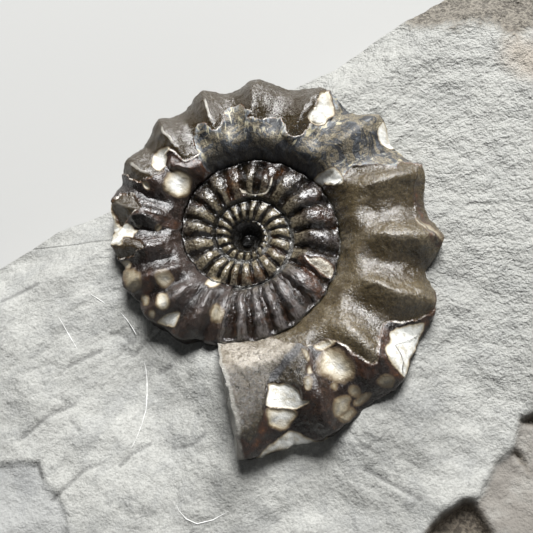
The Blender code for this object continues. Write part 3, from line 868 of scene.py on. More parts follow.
# ---- The stone -----------------------------------------------------------------------
# Lengths are in metres, but widths and runs beside outlines in the camera's frame are in millimetres.
STONE_OUTLINE = (
    (-0.0460, -0.0120), (-0.0335, -0.0028), (-0.0257, 0.0020), (-0.0183, 0.0049), (-0.0060, 0.0135),
    (0.0056, 0.0218), (0.0106, 0.0243), (0.0174, 0.0293), (0.0243, 0.0343), (0.0340, 0.0420),
    (0.0460, 0.0420), (0.0540, 0.0330), (0.0540, -0.0140), (0.0470, -0.0330), (0.0300, -0.0500),
    (-0.0220, -0.0500), (-0.0420, -0.0410), (-0.0460, -0.0300),
)
STONE_LEVEL = 0.0003
BEVEL_WIDTH = 0.0065
BEVEL_DROP = 0.0034
EDGE_RUN_START = np.array((-0.0460, -0.0120))
EDGE_RUN_END = np.array((0.0243, 0.0343))
LEDGE = (
    (420, 545), (432, 526), (445, 514), (456, 506), (464, 500), (478, 499), (484, 490), (491, 474),
    (495, 464), (505, 456), (513, 449), (516, 440), (518, 430), (520, 420), (533, 413), (556, 398),
    (572, 372), (604, 352), (760, 330), (760, 760), (372, 760), (384, 640), (402, 604), (406, 572),
)
LEDGE_DROP = 0.0009
PITS = (
    (
        (424, 535), (440, 517), (455, 507), (464, 499), (470, 500), (476, 504), (482, 511), (488, 521),
        (494, 533), (498, 560), (424, 560),
    ),
    ((513, 450), (518, 449), (523, 455), (527, 462), (529, 470), (524, 465), (518, 458)),
    ((521, 420), (527, 416), (535, 413), (545, 418), (545, 430), (533, 424), (527, 423)),
)
PIT_DROP = 0.0016
CRUST = (
    (372, -160), (396, -40), (402, 4), (409, 14), (428, 18), (442, 23), (454, 28), (466, 25), (476, 22),
    (488, 26), (497, 33), (505, 37), (518, 34), (533, 31), (566, 27), (590, 38), (640, 32), (760, 44),
    (760, -160),
)
WARM_PATCH = ((503, 42), (520, 38), (548, 40), (548, 78), (522, 72), (508, 60))
BLUISH_SLAB = (
    (-200, 428), (-80, 446), (-34, 468), (20, 461), (38, 464), (41, 478), (56, 492), (66, 512), (70, 552),
    (92, 584), (98, 640), (130, 760), (-200, 760),
)
SLAB_DROP = 0.0005
CREASES = (
    ((68, 367), (84, 358), (100, 350)), ((110, 333), (120, 333), (127, 338), (132, 342)),
    ((125, 348), (132, 354), (140, 345), (143, 335)), ((145, 338), (160, 340), (176, 348)),
    ((70, 420), (80, 430)), ((38, 463), (41, 478)), ((61, 398), (68, 402)),
    ((0, 300), (24, 290), (38, 284)), ((18, 440), (52, 414), (74, 404)),
    ((120, 466), (134, 452), (150, 444)), ((52, 500), (84, 470), (104, 462)), ((156, 372), (170, 366)),
    ((172, 448), (192, 446), (206, 436)), ((360, 448), (372, 452)), ((365, 470), (420, 500)),
)
CREASE_DEPTH = 0.00020
CREASE_WIDTH = 0.32
LEE_HOLLOWS = (((-0.0125, -0.0180), 0.0080, 0.0017), ((-0.0060, -0.0270), 0.0060, 0.0009))
MOUTH_MOUND = 0.0024
MOUTH_MOUND_RUN = 0.0055
MOUTH_CLEARANCE = math.radians(2.5)
RIM_BANK_START = math.radians(-40.0)
RIM_BANK_FULL = math.radians(0.0)
RIM_BANK_FADE = math.radians(58.0)
RIM_BANK_END = math.radians(86.0)
RIM_BANK_RUN = 7.0
RIM_BANK_CLEARANCE = 0.7
MOUTH_INNER = np.array((-0.0031, -0.0146))
MOUTH_RIM = np.array((-0.0005, -0.0290))
CRUST_DROP = 0.0022
CRUST_RUN = 5.0
ROUGHNESS_TOP = 0.0004
SWELL_PER_METRE = 60.0
ROUGH_PER_METRE = 260.0
STONE_COLUMNS = 720
SIDE_ROWS = 28
SIDE_TOP_SHARE = 0.985
SIDE_FADE = (0.86, 0.98)
SIDE_INSET = -0.9
BED_ROUGHNESS = 0.9
BED_WAVE = 3.4
BASE_SCALES = (0.0, 0.5, 0.97)
CRUST_FADE = 0.45
TOP_ROWS = 92
TOP_INNER_SCALE = 0.34
SOCKET_DEPTH = 4.0 * MM
SOCKET_RUN = (1.5, 4.5)
BEARING_STRETCH = 30.0


def flat_noise(points, per_metre):
    flat = with_zero(points).reshape(-1, 3) * per_metre
    made = np.array([noise.noise(point) for point in flat.tolist()])
    return made.reshape(points.shape[:-1])


def distance_past(points, start, end):
    along = (end - start) / np.linalg.norm(end - start)
    offset = points - start
    return offset[..., 0] * along[1] - offset[..., 1] * along[0]


def stone_places(points):
    """Where the frame shows points of the coil's own plane, given in metres from its centre."""
    return to_frame(COIL_CENTRE + with_zero(points))


def crease_distance(places):
    made = np.full(places.shape[:-1], -OUTSIDE)
    for line in CREASES:
        made = np.minimum(made, beside(places, line))
    return made


def rim_distance(points):
    """How far outside the coil's rim a point of the stone is, in millimetres."""
    radius = np.linalg.norm(points, axis=-1)
    angle = -np.arctan2(points[..., 1], points[..., 0])
    across = np.clip((radius / seam_radius(MOUTH) - 1.0) / (TIP_REACH - 1.0), 0.0, 1.0)
    mouth = MOUTH - mouth_lean(across) - MOUTH_CLEARANCE
    angle = np.where(angle > mouth, angle - FULL_TURN, angle)
    angle = np.where(angle < mouth - FULL_TURN, angle + FULL_TURN, angle)
    return (radius - seam_radius(angle) * rim_reach(angle)) / MM


def rim_bank(points):
    """The mudstone stands up against the rim on the side where the coil is youngest, in metres."""
    angle = -np.arctan2(points[..., 1], points[..., 0])
    rim_height = seam_radius(angle) / MM * (SEAM_HEIGHT * WHORL_EXPANSION - RIM_RELIEF)
    window = smooth_step(RIM_BANK_START, RIM_BANK_FULL, angle)
    window = window * (1.0 - smooth_step(RIM_BANK_FADE, RIM_BANK_END, angle))
    reach = np.clip(rim_distance(points), 0.0, None) / RIM_BANK_RUN
    return MM * window * (rim_height - RIM_BANK_CLEARANCE) * np.exp(-reach ** 2)


def stone_height(points):
    height = STONE_LEVEL + rim_bank(points)
    within = distance_past(points, EDGE_RUN_START, EDGE_RUN_END)
    height -= BEVEL_DROP * (1.0 - smooth_step(0.0, BEVEL_WIDTH, within))
    run = MOUTH_RIM - MOUTH_INNER
    share = np.clip(((points - MOUTH_INNER) @ run) / (run @ run), 0.0, 1.0)
    beside_mouth = np.linalg.norm(points - MOUTH_INNER - share[..., None] * run, axis=-1)
    height += MOUTH_MOUND * np.exp(-(beside_mouth / MOUTH_MOUND_RUN) ** 2)
    swells = 2.0 * flat_noise(points, SWELL_PER_METRE)
    height += ROUGHNESS_TOP * (swells + flat_noise(points, ROUGH_PER_METRE))
    local = with_zero(points / MM)
    places = stone_places(points)
    ragged = 0.5 * rough(local, 3.0, 31.0) + 0.25 * rough(local, 1.0, 35.0)
    height += MM * (0.17 * rough(local, 3.4, 45.0) + 0.10 * rough(local, 1.3, 41.0))
    crust = inside(places, CRUST) + ragged
    height -= CRUST_DROP * smooth_step(-0.6, CRUST_RUN, crust)
    height += 0.30 * MM * smooth_step(-1.0, 2.0, crust) * rough(local, 1.7, 43.0)
    height -= LEDGE_DROP * smooth_step(-0.4, 0.5, inside(places, LEDGE, smooth=False) + 0.6 * ragged)
    height -= SLAB_DROP * smooth_step(-0.3, 0.5, inside(places, BLUISH_SLAB, smooth=False) + 0.5 * ragged)
    for outline in PITS:
        height -= PIT_DROP * smooth_step(-0.4, 1.2, inside(places, outline, smooth=False) + 0.4 * ragged)
    for middle, radius, depth in LEE_HOLLOWS:
        height -= depth * np.exp(-(np.linalg.norm(points - np.array(middle), axis=-1) / radius) ** 2)
    height -= CREASE_DEPTH * np.exp(-(crease_distance(places) / CREASE_WIDTH) ** 2)
    height -= SOCKET_DEPTH * smooth_step(*SOCKET_RUN, -rim_distance(points))
    return height


def outline_points(share):
    points = np.array(STONE_OUTLINE)
    closed = np.concatenate((points[-1:], points))
    lengths = np.linalg.norm(np.diff(closed, axis=0), axis=1)
    travel = np.concatenate(([0.0], np.cumsum(lengths)))
    at = (share % 1.0) * travel[-1]
    return np.stack((np.interp(at, travel, closed[:, 0]), np.interp(at, travel, closed[:, 1])), axis=-1)


def stone_piece(material):
    edge = outline_points(np.linspace(0.0, 1.0, STONE_COLUMNS + 1))
    out = edge / np.linalg.norm(edge, axis=-1, keepdims=True)
    edge_top = COIL_CENTRE[2] + stone_height(edge)
    columns = [with_zero(edge * scale) for scale in BASE_SCALES]
    side_shares = np.linspace(0.0, SIDE_TOP_SHARE, SIDE_ROWS)
    for share in side_shares:
        level = edge_top * share
        local = np.stack((edge[:, 0] / MM, edge[:, 1] / MM, level / MM * 2.2), axis=-1)
        upright = np.stack((0.0 * level, 0.0 * level, level / MM), axis=-1)
        bed = BED_ROUGHNESS * rough(upright, BED_WAVE, 61.0)
        step = SIDE_INSET + bed + 1.2 * rough(local, 9.0, 63.0) + 0.5 * rough(local, 2.2, 65.0)
        points = edge + out * (step * (1.0 - smooth_step(*SIDE_FADE, share)) * MM)[:, None]
        columns.append(np.stack((points[:, 0], points[:, 1], level), axis=-1))
    for scale in np.linspace(1.0, TOP_INNER_SCALE, TOP_ROWS):
        points = edge * scale
        columns.append(np.stack((points[:, 0], points[:, 1], COIL_CENTRE[2] + stone_height(points)),
                                axis=-1))
    columns.append(np.tile(np.array((0.0, 0.0, COIL_CENTRE[2] - SOCKET_DEPTH)), (len(edge), 1)))
    grid = np.stack(columns, axis=1)
    grid[..., 0] += COIL_CENTRE[0]
    grid[..., 1] += COIL_CENTRE[1]
    low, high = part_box("matrix_stone")
    for axis in (0, 1):
        grid[..., axis] = np.clip(grid[..., axis], low[axis], high[axis])
    local = from_centre(grid)
    radius = np.linalg.norm(local[..., :2], axis=-1)
    bearing = np.arctan2(local[..., 1], local[..., 0])
    places = stone_places(grid[..., :2] - COIL_CENTRE[:2])
    pits = np.maximum.reduce([inside(places, outline, smooth=False) for outline in PITS])
    base_rows = len(BASE_SCALES)
    below = np.zeros(grid.shape[:2])
    below[:, :base_rows] = edge_top[:, None] / MM
    below[:, base_rows:base_rows + SIDE_ROWS] = (edge_top[:, None] * (1.0 - side_shares)) / MM
    values = {
        "below": below,
        "ledge": inside(places, LEDGE, smooth=False),
        "pit": pits,
        "crust": inside(places, CRUST) - CRUST_FADE * below,
        "warm": inside(places, WARM_PATCH),
        "slab": inside(places, BLUISH_SLAB, smooth=False),
        "crease": crease_distance(places),
        "upper_right": local[..., 0] + local[..., 1],
        "polar": np.stack((radius, bearing * BEARING_STRETCH, local[..., 2]), axis=-1),
    }
    mesh = sheet_mesh("mudstone_block", grid, values)
    return finish_piece("mudstone_block", mesh, material, "matrix_stone")


# ---- Fibres that lie on the stone ----------------------------------------------------
FIBRE_RADIUS = 0.075 * MM
FIBRE_SIDES = 6
FIBRE_STEP = 2.0
VIEW_WALK_STEPS = 4
FIBRES = (
    ((88, 293), (95, 297), (106, 304)), ((120, 312), (127, 320), (133, 329), (137, 336)),
    ((144, 361), (146, 370), (147, 381), (147, 395), (146, 410), (142, 424), (137, 437), (131, 449)),
    ((176, 504), (179, 511), (186, 519), (197, 524), (213, 520), (229, 511)),
    ((427, 254), (425, 268), (427, 284), (433, 296)), ((58, 316), (66, 330), (73, 342), (78, 350)),
)


def on_stone(spot):
    """The point of the stone's top that the frame shows at a spot, found by walking down the view."""
    scale = 2.0 * math.tan(VIEW_ANGLE / 2.0) / FRAME_SIZE
    across, down = spot[0] - FRAME_SIZE / 2.0, spot[1] - FRAME_SIZE / 2.0
    ray = (CAMERA_RIGHT * across - CAMERA_UP * down) * scale
    ray = ray - CAMERA_BACK
    level = COIL_CENTRE[2]
    for _ in range(VIEW_WALK_STEPS):
        point = CAMERA_PLACE + ray * (level - CAMERA_PLACE[2]) / ray[2]
        level = COIL_CENTRE[2] + float(stone_height((point[:2] - COIL_CENTRE[:2])[None, :])[0])
    return point


def fibre_sheet(line):
    """A thin tube along a fibre, as a grid of points that closes on itself and at both ends."""
    points = np.array(line, float)
    travel = np.concatenate(([0.0], np.cumsum(np.linalg.norm(np.diff(points, axis=0), axis=1))))
    steps = np.linspace(0.0, travel[-1], int(travel[-1] / FIBRE_STEP) + 3)
    spots = np.stack((np.interp(steps, travel, points[:, 0]), np.interp(steps, travel, points[:, 1])),
                     axis=-1)
    middles = np.stack([on_stone(spot) for spot in spots])
    run = np.gradient(middles, axis=0)
    run /= np.linalg.norm(run, axis=1, keepdims=True)
    side = np.cross(run, (0.0, 0.0, 1.0))
    lift = np.cross(side, run)
    radius = FIBRE_RADIUS * np.sqrt(np.sin(math.pi * np.linspace(0.0, 1.0, len(steps))).clip(0.0))
    turn = np.linspace(0.0, FULL_TURN, FIBRE_SIDES + 1)[None, :, None]
    ring = side[:, None] * np.cos(turn) + lift[:, None] * np.sin(turn)
    return middles[:, None] + radius[:, None, None] * ring


def fibre_piece(material):
    made = bmesh.new()
    for line in FIBRES:
        made.from_mesh(sheet_mesh("fibre", fibre_sheet(line), {}))
    mesh = bpy.data.meshes.new("pale_fibres")
    made.to_mesh(mesh)
    made.free()
    return finish_piece("pale_fibres", mesh, material, "matrix_stone")


# ---- Materials -----------------------------------------------------------------------

class Nodes:
    """Short calls for building a node tree."""

    def __init__(self, tree):
        self.tree = tree

    def node(self, kind, **settings):
        made = self.tree.nodes.new(kind)
        for key, value in settings.items():
            setattr(made, key, value)
        return made

    def feed(self, socket, value):
        if isinstance(value, bpy.types.NodeSocket):
            self.tree.links.new(value, socket)
        elif isinstance(value, tuple) and len(value) == 3 and socket.type == "RGBA":
            socket.default_value = (*value, 1.0)
        else:
            socket.default_value = value

    def math(self, operation, *values):
        made = self.node("ShaderNodeMath", operation=operation)
        for socket, value in zip(made.inputs, values):
            self.feed(socket, value)
        return made.outputs[0]

    def chained(self, operation, values):
        made = values[0]
        for value in values[1:]:
            made = self.math(operation, made, value)
        return made

    def plus(self, *values):
        return self.chained("ADD", values)

    def times(self, *values):
        return self.chained("MULTIPLY", values)

    def minus(self, first, second):
        return self.math("SUBTRACT", first, second)

    def inverse(self, value):
        return self.minus(1.0, value)

    def centred(self, value):
        """A noise of 0 to 1, moved to lie about 0."""
        return self.minus(value, 0.5)

    def ramp(self, value, low, high, first=0.0, second=1.0):
        made = self.node("ShaderNodeMapRange", interpolation_type="SMOOTHSTEP")
        for socket, given in zip(made.inputs, (value, low, high, first, second)):
            self.feed(socket, given)
        return made.outputs[0]

    def along(self, distance, low, high):
        """1 on the line where a signed distance is 0, and 0 past the second width."""
        return self.inverse(self.ramp(self.math("ABSOLUTE", distance), low, high))

    def mix(self, share, first, second):
        made = self.node("ShaderNodeMix", data_type="RGBA")
        self.feed(made.inputs[0], share)
        self.feed(made.inputs[6], first)
        self.feed(made.inputs[7], second)
        return made.outputs[2]

    def tinted(self, colour, tint, *shares):
        """A colour with a tint over it, by the product of the shares."""
        return self.mix(self.times(*shares), colour, tint)

    def noise(self, vector, scale, detail=3.0, roughness=0.55, distortion=0.0):
        made = self.node("ShaderNodeTexNoise")
        for key, value in (("Vector", vector), ("Scale", scale), ("Detail", detail),
                           ("Roughness", roughness), ("Distortion", distortion)):
            self.feed(made.inputs[key], value)
        return made.outputs[0]

    def value(self, name):
        return self.node("ShaderNodeAttribute", attribute_name=name).outputs["Fac"]

    def vector(self, name):
        return self.node("ShaderNodeAttribute", attribute_name=name).outputs["Vector"]

    def stretched(self, vector, scale):
        made = self.node("ShaderNodeMapping")
        self.feed(made.inputs["Vector"], vector)
        made.inputs["Scale"].default_value = scale
        return made.outputs[0]

    def object_mm(self):
        """Object coordinates in millimetres."""
        place = self.node("ShaderNodeTexCoord").outputs["Object"]
        return self.stretched(place, (1.0 / MM, 1.0 / MM, 1.0 / MM))

    def effect(self, group, **values):
        made = self.node("ShaderNodeGroup", node_tree=group)
        for key, value in values.items():
            self.feed(made.inputs[key], value)
        return made.outputs


def new_group(name, inputs, outputs):
    """An effect with named sockets: the tree to build in, its inputs and its output node."""
    group = bpy.data.node_groups.new(name, "ShaderNodeTree")
    for label, kind, value in inputs:
        socket = group.interface.new_socket(label, in_out="INPUT", socket_type="NodeSocket" + kind)
        if value is not None:
            socket.default_value = value
    for label, kind in outputs:
        group.interface.new_socket(label, in_out="OUTPUT", socket_type="NodeSocket" + kind)
    tree = Nodes(group)
    return group, tree, tree.node("NodeGroupInput").outputs, tree.node("NodeGroupOutput").inputs


def ragged_edge_group():
    """Turns a distance in millimetres into a mask with an uneven edge."""
    group, t, given, made = new_group(
        "ragged edge",
        (("Distance", "Float", 0.0), ("Softness", "Float", 0.05), ("Unevenness", "Float", 0.12),
         ("Position", "Vector", None)),
        (("Mask", "Float"),))
    wander = t.centred(t.noise(given["Position"], 1.7, 4.0, 0.6))
    distance = t.plus(given["Distance"], t.times(wander, given["Unevenness"]))
    low = t.times(given["Softness"], -1.0)
    t.feed(made["Mask"], t.ramp(distance, low, given["Softness"]))
    return group


def satin_grain_group():
    """The fine wrinkled grain of the fossil's skin: speckle for colour, height for bumps."""
    group, t, given, made = new_group(
        "satin grain",
        (("Position", "Vector", None), ("Grains per mm", "Float", 3.0)),
        (("Speckle", "Float"), ("Height", "Float")))
    fine = t.noise(given["Position"], given["Grains per mm"], 3.0, 0.62, 0.4)
    coarse = t.noise(given["Position"], t.times(given["Grains per mm"], 0.37), 2.0, 0.5)
    t.feed(made["Speckle"], fine)
    t.feed(made["Height"], t.plus(t.times(fine, 0.62), t.times(coarse, 0.38)))
    return group


# Colours are linear red, green and blue.
STAIN_DARK = (0.024, 0.012, 0.007)
STAIN_OLIVE = (0.13, 0.092, 0.048)
CALCITE_CREAM = (0.43, 0.375, 0.27)
CALCITE_MILKY = (0.62, 0.61, 0.565)
CALCITE_IVORY = (0.51, 0.48, 0.405)
CALCITE_WHITE = (0.74, 0.74, 0.70)
DULL_DARK = (0.075, 0.059, 0.035)
DULL_LIGHT = (0.240, 0.205, 0.140)


def calcite_group():
    """Calcite: white at the heart, cream, then olive brown and a dark brown stain at the border."""
    group, t, given, made = new_group(
        "calcite bloom",
        (("Depth", "Float", 0.0), ("Softness", "Float", 0.1), ("Tone", "Float", 0.0),
         ("Position", "Vector", None)),
        (("Colour", "Color"), ("Mask", "Float")))
    wander = t.centred(t.noise(given["Position"], 1.1, 5.0, 0.65))
    amount = t.plus(t.times(given["Softness"], 0.7), 0.12)
    depth = t.plus(given["Depth"], t.times(wander, amount))
    share = t.math("DIVIDE", depth, given["Softness"])
    stain = t.mix(t.ramp(share, -1.2, -0.2), STAIN_DARK, STAIN_OLIVE)
    cream = t.mix(t.ramp(share, -0.3, 0.9), stain, CALCITE_CREAM)
    milky = t.noise(given["Position"], 0.9, 4.0)
    heart = t.mix(t.ramp(milky, 0.42, 0.62), CALCITE_MILKY, CALCITE_IVORY)
    white = t.mix(t.ramp(share, 0.6, 2.8), cream, heart)
    white = t.tinted(white, CALCITE_WHITE, t.ramp(share, 2.6, 4.5), t.ramp(milky, 0.66, 0.46))
    dull = t.mix(t.ramp(milky, 0.38, 0.62), DULL_DARK, DULL_LIGHT)
    t.feed(made["Colour"], t.mix(given["Tone"], white, t.mix(t.ramp(share, -0.6, 0.8), stain, dull)))
    t.feed(made["Mask"], t.ramp(share, -1.6, -0.5))
    return group


RUST_BLACK = (0.011, 0.0045, 0.0025)
RUST_BROWN = (0.048, 0.018, 0.007)
RUST_ORANGE = (0.165, 0.066, 0.020)


def rust_group():
    group, t, given, made = new_group("rust stain", (("Position", "Vector", None),),
                                      (("Colour", "Color"),))
    patches = t.noise(given["Position"], 1.5, 5.0, 0.65)
    deep = t.mix(t.ramp(patches, 0.30, 0.55), RUST_BLACK, RUST_BROWN)
    t.feed(made["Colour"], t.mix(t.ramp(patches, 0.54, 0.74), deep, RUST_ORANGE))
    return group


RAGGED_EDGE = ragged_edge_group()
SATIN_GRAIN = satin_grain_group()
CALCITE_BLOOM = calcite_group()
RUST_STAIN = rust_group()


# How far the bump of each material moves its surface, in metres, and how rough the dull ones are.
LAST_TURN_BUMP = 0.00018
INNER_TURN_BUMP = 0.00016
STONE_BUMP = 0.00044
STONE_ROUGHNESS = 0.8
FIBRE_ROUGHNESS = 0.45
FLOOR_ROUGHNESS = 0.9
# How strongly each one mirrors the room; 0.5 is usual.
LAST_TURN_GLOSS = 1.0
INNER_TURN_GLOSS = 0.90
STONE_GLOSS = 0.25


def new_material(name):
    material = bpy.data.materials.new(name)
    material.use_nodes = True
    material.node_tree.nodes.clear()
    tree = Nodes(material.node_tree)
    shader = tree.node("ShaderNodeBsdfPrincipled")
    output = tree.node("ShaderNodeOutputMaterial")
    material.node_tree.links.new(shader.outputs[0], output.inputs[0])
    return material, tree, shader


def bumped(tree, shader, height, distance):
    bump = tree.node("ShaderNodeBump")
    bump.inputs["Strength"].default_value = 1.0
    bump.inputs["Distance"].default_value = distance
    tree.feed(bump.inputs["Height"], height)
    tree.feed(shader.inputs["Normal"], bump.outputs[0])


# The last turn: bare cast, silt by the mouth, brown outer shell, blue-black inner layer, breaks.
CAST_BLACK = (0.010, 0.0062, 0.0042)
CAST_BROWN = (0.030, 0.019, 0.0145)
CAST_TAWNY = (0.060, 0.032, 0.018)
CAST_BY_SEAM = (0.032, 0.0215, 0.0180)
CAST_GAP_SHADE = (0.006, 0.003, 0.002)
CAST_CREST_HIGHLIGHT = (0.098, 0.078, 0.070)
SUNKEN_SHADE_BLACK = (0.004, 0.003, 0.002)
SILT_DARK = (0.115, 0.096, 0.068)
SILT_PALE_AND_SHEEN = (0.410, 0.370, 0.310)
SILT_BROWN = (0.125, 0.100, 0.062)
SILT_RIM_DARK = (0.013, 0.0095, 0.005)
SILT_RIM_LIGHT = (0.062, 0.048, 0.028)
DARK_BAND_GREY = (0.050, 0.052, 0.058)
SHELL_DARK = (0.076, 0.057, 0.029)
SHELL_LIGHT = (0.122, 0.094, 0.050)
SHELL_OLDER_TONE_AND_SHADE = (0.038, 0.026, 0.012)
SHELL_TROUGH_SHADE = (0.036, 0.024, 0.009)
SHELL_RUBBED = (0.190, 0.160, 0.108)
SHELL_SPECKLE = (0.020, 0.013, 0.006)
SHELL_CREST_HIGHLIGHT = (0.44, 0.42, 0.37)
BLUE_BLACK = (0.0045, 0.0055, 0.0075)
BLUE_GREY = (0.078, 0.092, 0.112)
TAN_DARK = (0.070, 0.055, 0.031)
TAN_LIGHT = (0.205, 0.172, 0.110)
CHANNEL_DARK = (0.012, 0.014, 0.018)
FRAYED_BLUE = (0.27, 0.30, 0.33)
THREAD_CREAM = (0.50, 0.45, 0.30)
BLUE_SEAM_SHADE = (0.007, 0.008, 0.010)
CHALK_DARK = (0.10, 0.060, 0.036)
CHALK_PALE = (0.58, 0.54, 0.48)
CRACK_BROWN = (0.030, 0.018, 0.010)
LIP_PALE = (0.30, 0.29, 0.26)


def last_turn_material():
    material, t, shader = new_material("last_turn_shell")
    mm = t.object_mm()
    growth = t.vector("growth")
    away = t.value("seam")
    crest = t.value("crest")
    age = t.value("age")
    broad = t.noise(mm, 0.30, 3.0)
    medium = t.noise(mm, 1.4, 4.0, 0.6)
    grain = t.effect(SATIN_GRAIN, **{"Position": mm, "Grains per mm": 4.6})
    wrinkles = t.noise(mm, 1.5, 6.0, 0.72, 1.2)
    dark_band = t.ramp(t.value("dark_band"), 0.75, 0.25)

    def mask(name, soft=0.05, uneven=0.12):
        return t.effect(RAGGED_EDGE, Distance=t.value(name), Softness=soft, Unevenness=uneven,
                        Position=mm)["Mask"]

    shell = mask("shell")
    blue = mask("blue")
    sediment = mask("sediment", 0.22, 0.9)
    rust = t.value("rust")

    cast = t.mix(t.ramp(broad, 0.35, 0.65), CAST_BLACK, CAST_BROWN)
    cast = t.tinted(cast, CAST_TAWNY, t.ramp(medium, 0.48, 0.72), 0.7)
    cast = t.tinted(cast, CAST_BY_SEAM, t.ramp(away, 4.2, 0.8), t.ramp(medium, 0.35, 0.6), 0.6)
    # Painted shade: the cast is darkened in the gaps between the ribs, away from the seam.
    rib_gap_shade = t.times(t.ramp(crest, 0.50, 0.15), t.ramp(away, 0.5, 2.0), 0.85)
    cast = t.mix(rib_gap_shade, cast, CAST_GAP_SHADE)
    rusty = t.effect(RUST_STAIN, Position=mm)["Colour"]
    streaks = t.noise(t.stretched(growth, (2.6, 0.55, 1.0)), 1.0, 4.0, 0.6, 0.5)
    hair = t.noise(t.stretched(growth, (5.0, 0.5, 1.0)), 1.0, 3.0, 0.6)
    # Painted highlight: pale streaks along the crests of the earliest ribs of the last turn.
    crest_highlight = t.times(t.ramp(crest, 0.50, 0.92), t.ramp(hair, 0.40, 0.60), t.ramp(away, 6.5, 3.5),
                         t.ramp(age, -190.0, -225.0))
    cast = t.tinted(cast, CAST_CREST_HIGHLIGHT, crest_highlight, 0.40)
    cast = t.tinted(cast, rusty, rust, 0.9)
    # Painted shade: the sunken hollow is painted black.
    cast = t.tinted(cast, SUNKEN_SHADE_BLACK, t.value("sunken"), 0.9)
    # The silt is pale on the crests of its wrinkles: partly pale silt, partly painted sheen.
    silt = t.mix(t.ramp(wrinkles, 0.38, 0.56), SILT_DARK, SILT_PALE_AND_SHEEN)
    silt = t.tinted(silt, SILT_BROWN, t.ramp(broad, 0.42, 0.60), 0.6)
    silt = t.tinted(silt, t.mix(t.ramp(wrinkles, 0.38, 0.62), SILT_RIM_DARK, SILT_RIM_LIGHT),
                    t.ramp(t.plus(away, t.times(broad, 3.0)), 4.7, 7.0), 0.95)
    # A dark grey band across the silt, along a listed line.
    silt = t.tinted(silt, DARK_BAND_GREY, dark_band, 0.8)
    cast = t.tinted(cast, silt, sediment, 0.97)
    brown = t.mix(t.ramp(broad, 0.35, 0.65), SHELL_DARK, SHELL_LIGHT)
    # The older shell at the top of the coil is darker: partly its own darker brown, partly painted shade.
    older = t.ramp(t.plus(age, t.times(medium, 30.0)), -25.0, -50.0)
    brown = t.tinted(brown, SHELL_OLDER_TONE_AND_SHADE, older, 0.9)
    # Painted shade: the brown is darkened in the troughs between the ribs, away from the seam.
    trough_shade = t.times(t.ramp(crest, 0.55, 0.10), t.ramp(away, 2.0, 5.0), 0.6)
    brown = t.mix(trough_shade, brown, SHELL_TROUGH_SHADE)
    rubbed = t.times(t.ramp(crest, 0.70, 0.95), t.ramp(wrinkles, 0.42, 0.56), t.ramp(age, -20.0, 0.0))
    brown = t.tinted(brown, SHELL_RUBBED, rubbed, 0.55)
    brown = t.tinted(brown, SHELL_SPECKLE, t.ramp(grain["Speckle"], 0.55, 0.40), 0.75)
    brown = t.tinted(brown, rusty, rust, t.ramp(medium, 0.38, 0.6))
    # Painted highlight: thin pale lines on the crests of the ribs at the top of the coil.
    crest_line_highlight = t.times(t.ramp(crest, 0.968, 0.998), t.ramp(age, -92.0, -104.0), t.ramp(away, 5.0, 6.0),
                   t.ramp(away, 8.9, 8.2), t.ramp(age, -172.0, -160.0))
    brown = t.tinted(brown, SHELL_CREST_HIGHLIGHT, crest_line_highlight, 0.65)

    swirl = t.noise(t.stretched(growth, (0.8, 0.9, 1.0)), 0.62, 6.0, 0.68, 1.6)
    thread = t.noise(mm, 1.3, 4.0, 0.60, 1.0)
    dark_blue = t.mix(t.ramp(streaks, 0.47, 0.66), BLUE_BLACK, BLUE_GREY)
    tan = t.mix(t.ramp(grain["Speckle"], 0.36, 0.60), TAN_DARK, TAN_LIGHT)
    mottled = t.mix(t.ramp(swirl, 0.485, 0.512), dark_blue, tan)
    channel = t.along(t.centred(thread), 0.010, 0.040)
    mottled = t.tinted(mottled, CHANNEL_DARK, channel, 0.85)
    frayed = t.times(t.ramp(t.value("blue"), 0.9, 0.1), t.ramp(streaks, 0.42, 0.58))
    mottled = t.tinted(mottled, FRAYED_BLUE, frayed, 0.8)
    cream_threads = t.times(t.ramp(streaks, 0.57, 0.64), t.ramp(t.value("blue"), 3.0, 0.3))
    mottled = t.mix(cream_threads, mottled, THREAD_CREAM)
    # Painted shade: the mottled layer darkens towards the seam.
    mottled = t.tinted(mottled, BLUE_SEAM_SHADE, t.ramp(away, 2.8, 0.6), 0.85)
    colour = t.mix(blue, cast, mottled)
    colour = t.mix(shell, colour, brown)
    break_line = t.along(t.value("shell"), 0.03, 0.105)
    break_line = t.times(break_line, t.ramp(medium, 0.38, 0.50))
    chalky = t.mix(t.ramp(t.noise(mm, 0.55, 4.0, 0.7), 0.50, 0.62), CHALK_DARK, CHALK_PALE)
    colour = t.mix(break_line, colour, chalky)
    calcite = t.effect(CALCITE_BLOOM, Depth=t.value("calcite"), Softness=t.value("soft"),
                       Tone=t.value("tone"), Position=mm)
    colour = t.mix(calcite["Mask"], colour, calcite["Colour"])
    crack = t.inverse(t.ramp(t.value("crack"), 0.03, 0.11))
    colour = t.tinted(colour, CRACK_BROWN, crack, 0.9)
    lip = t.ramp(t.plus(age, t.times(medium, 1.2)), MOUTH_DEG - 0.9, MOUTH_DEG - 0.1)
    colour = t.tinted(colour, LIP_PALE, lip, 0.75)
    t.feed(shader.inputs["Base Color"], colour)

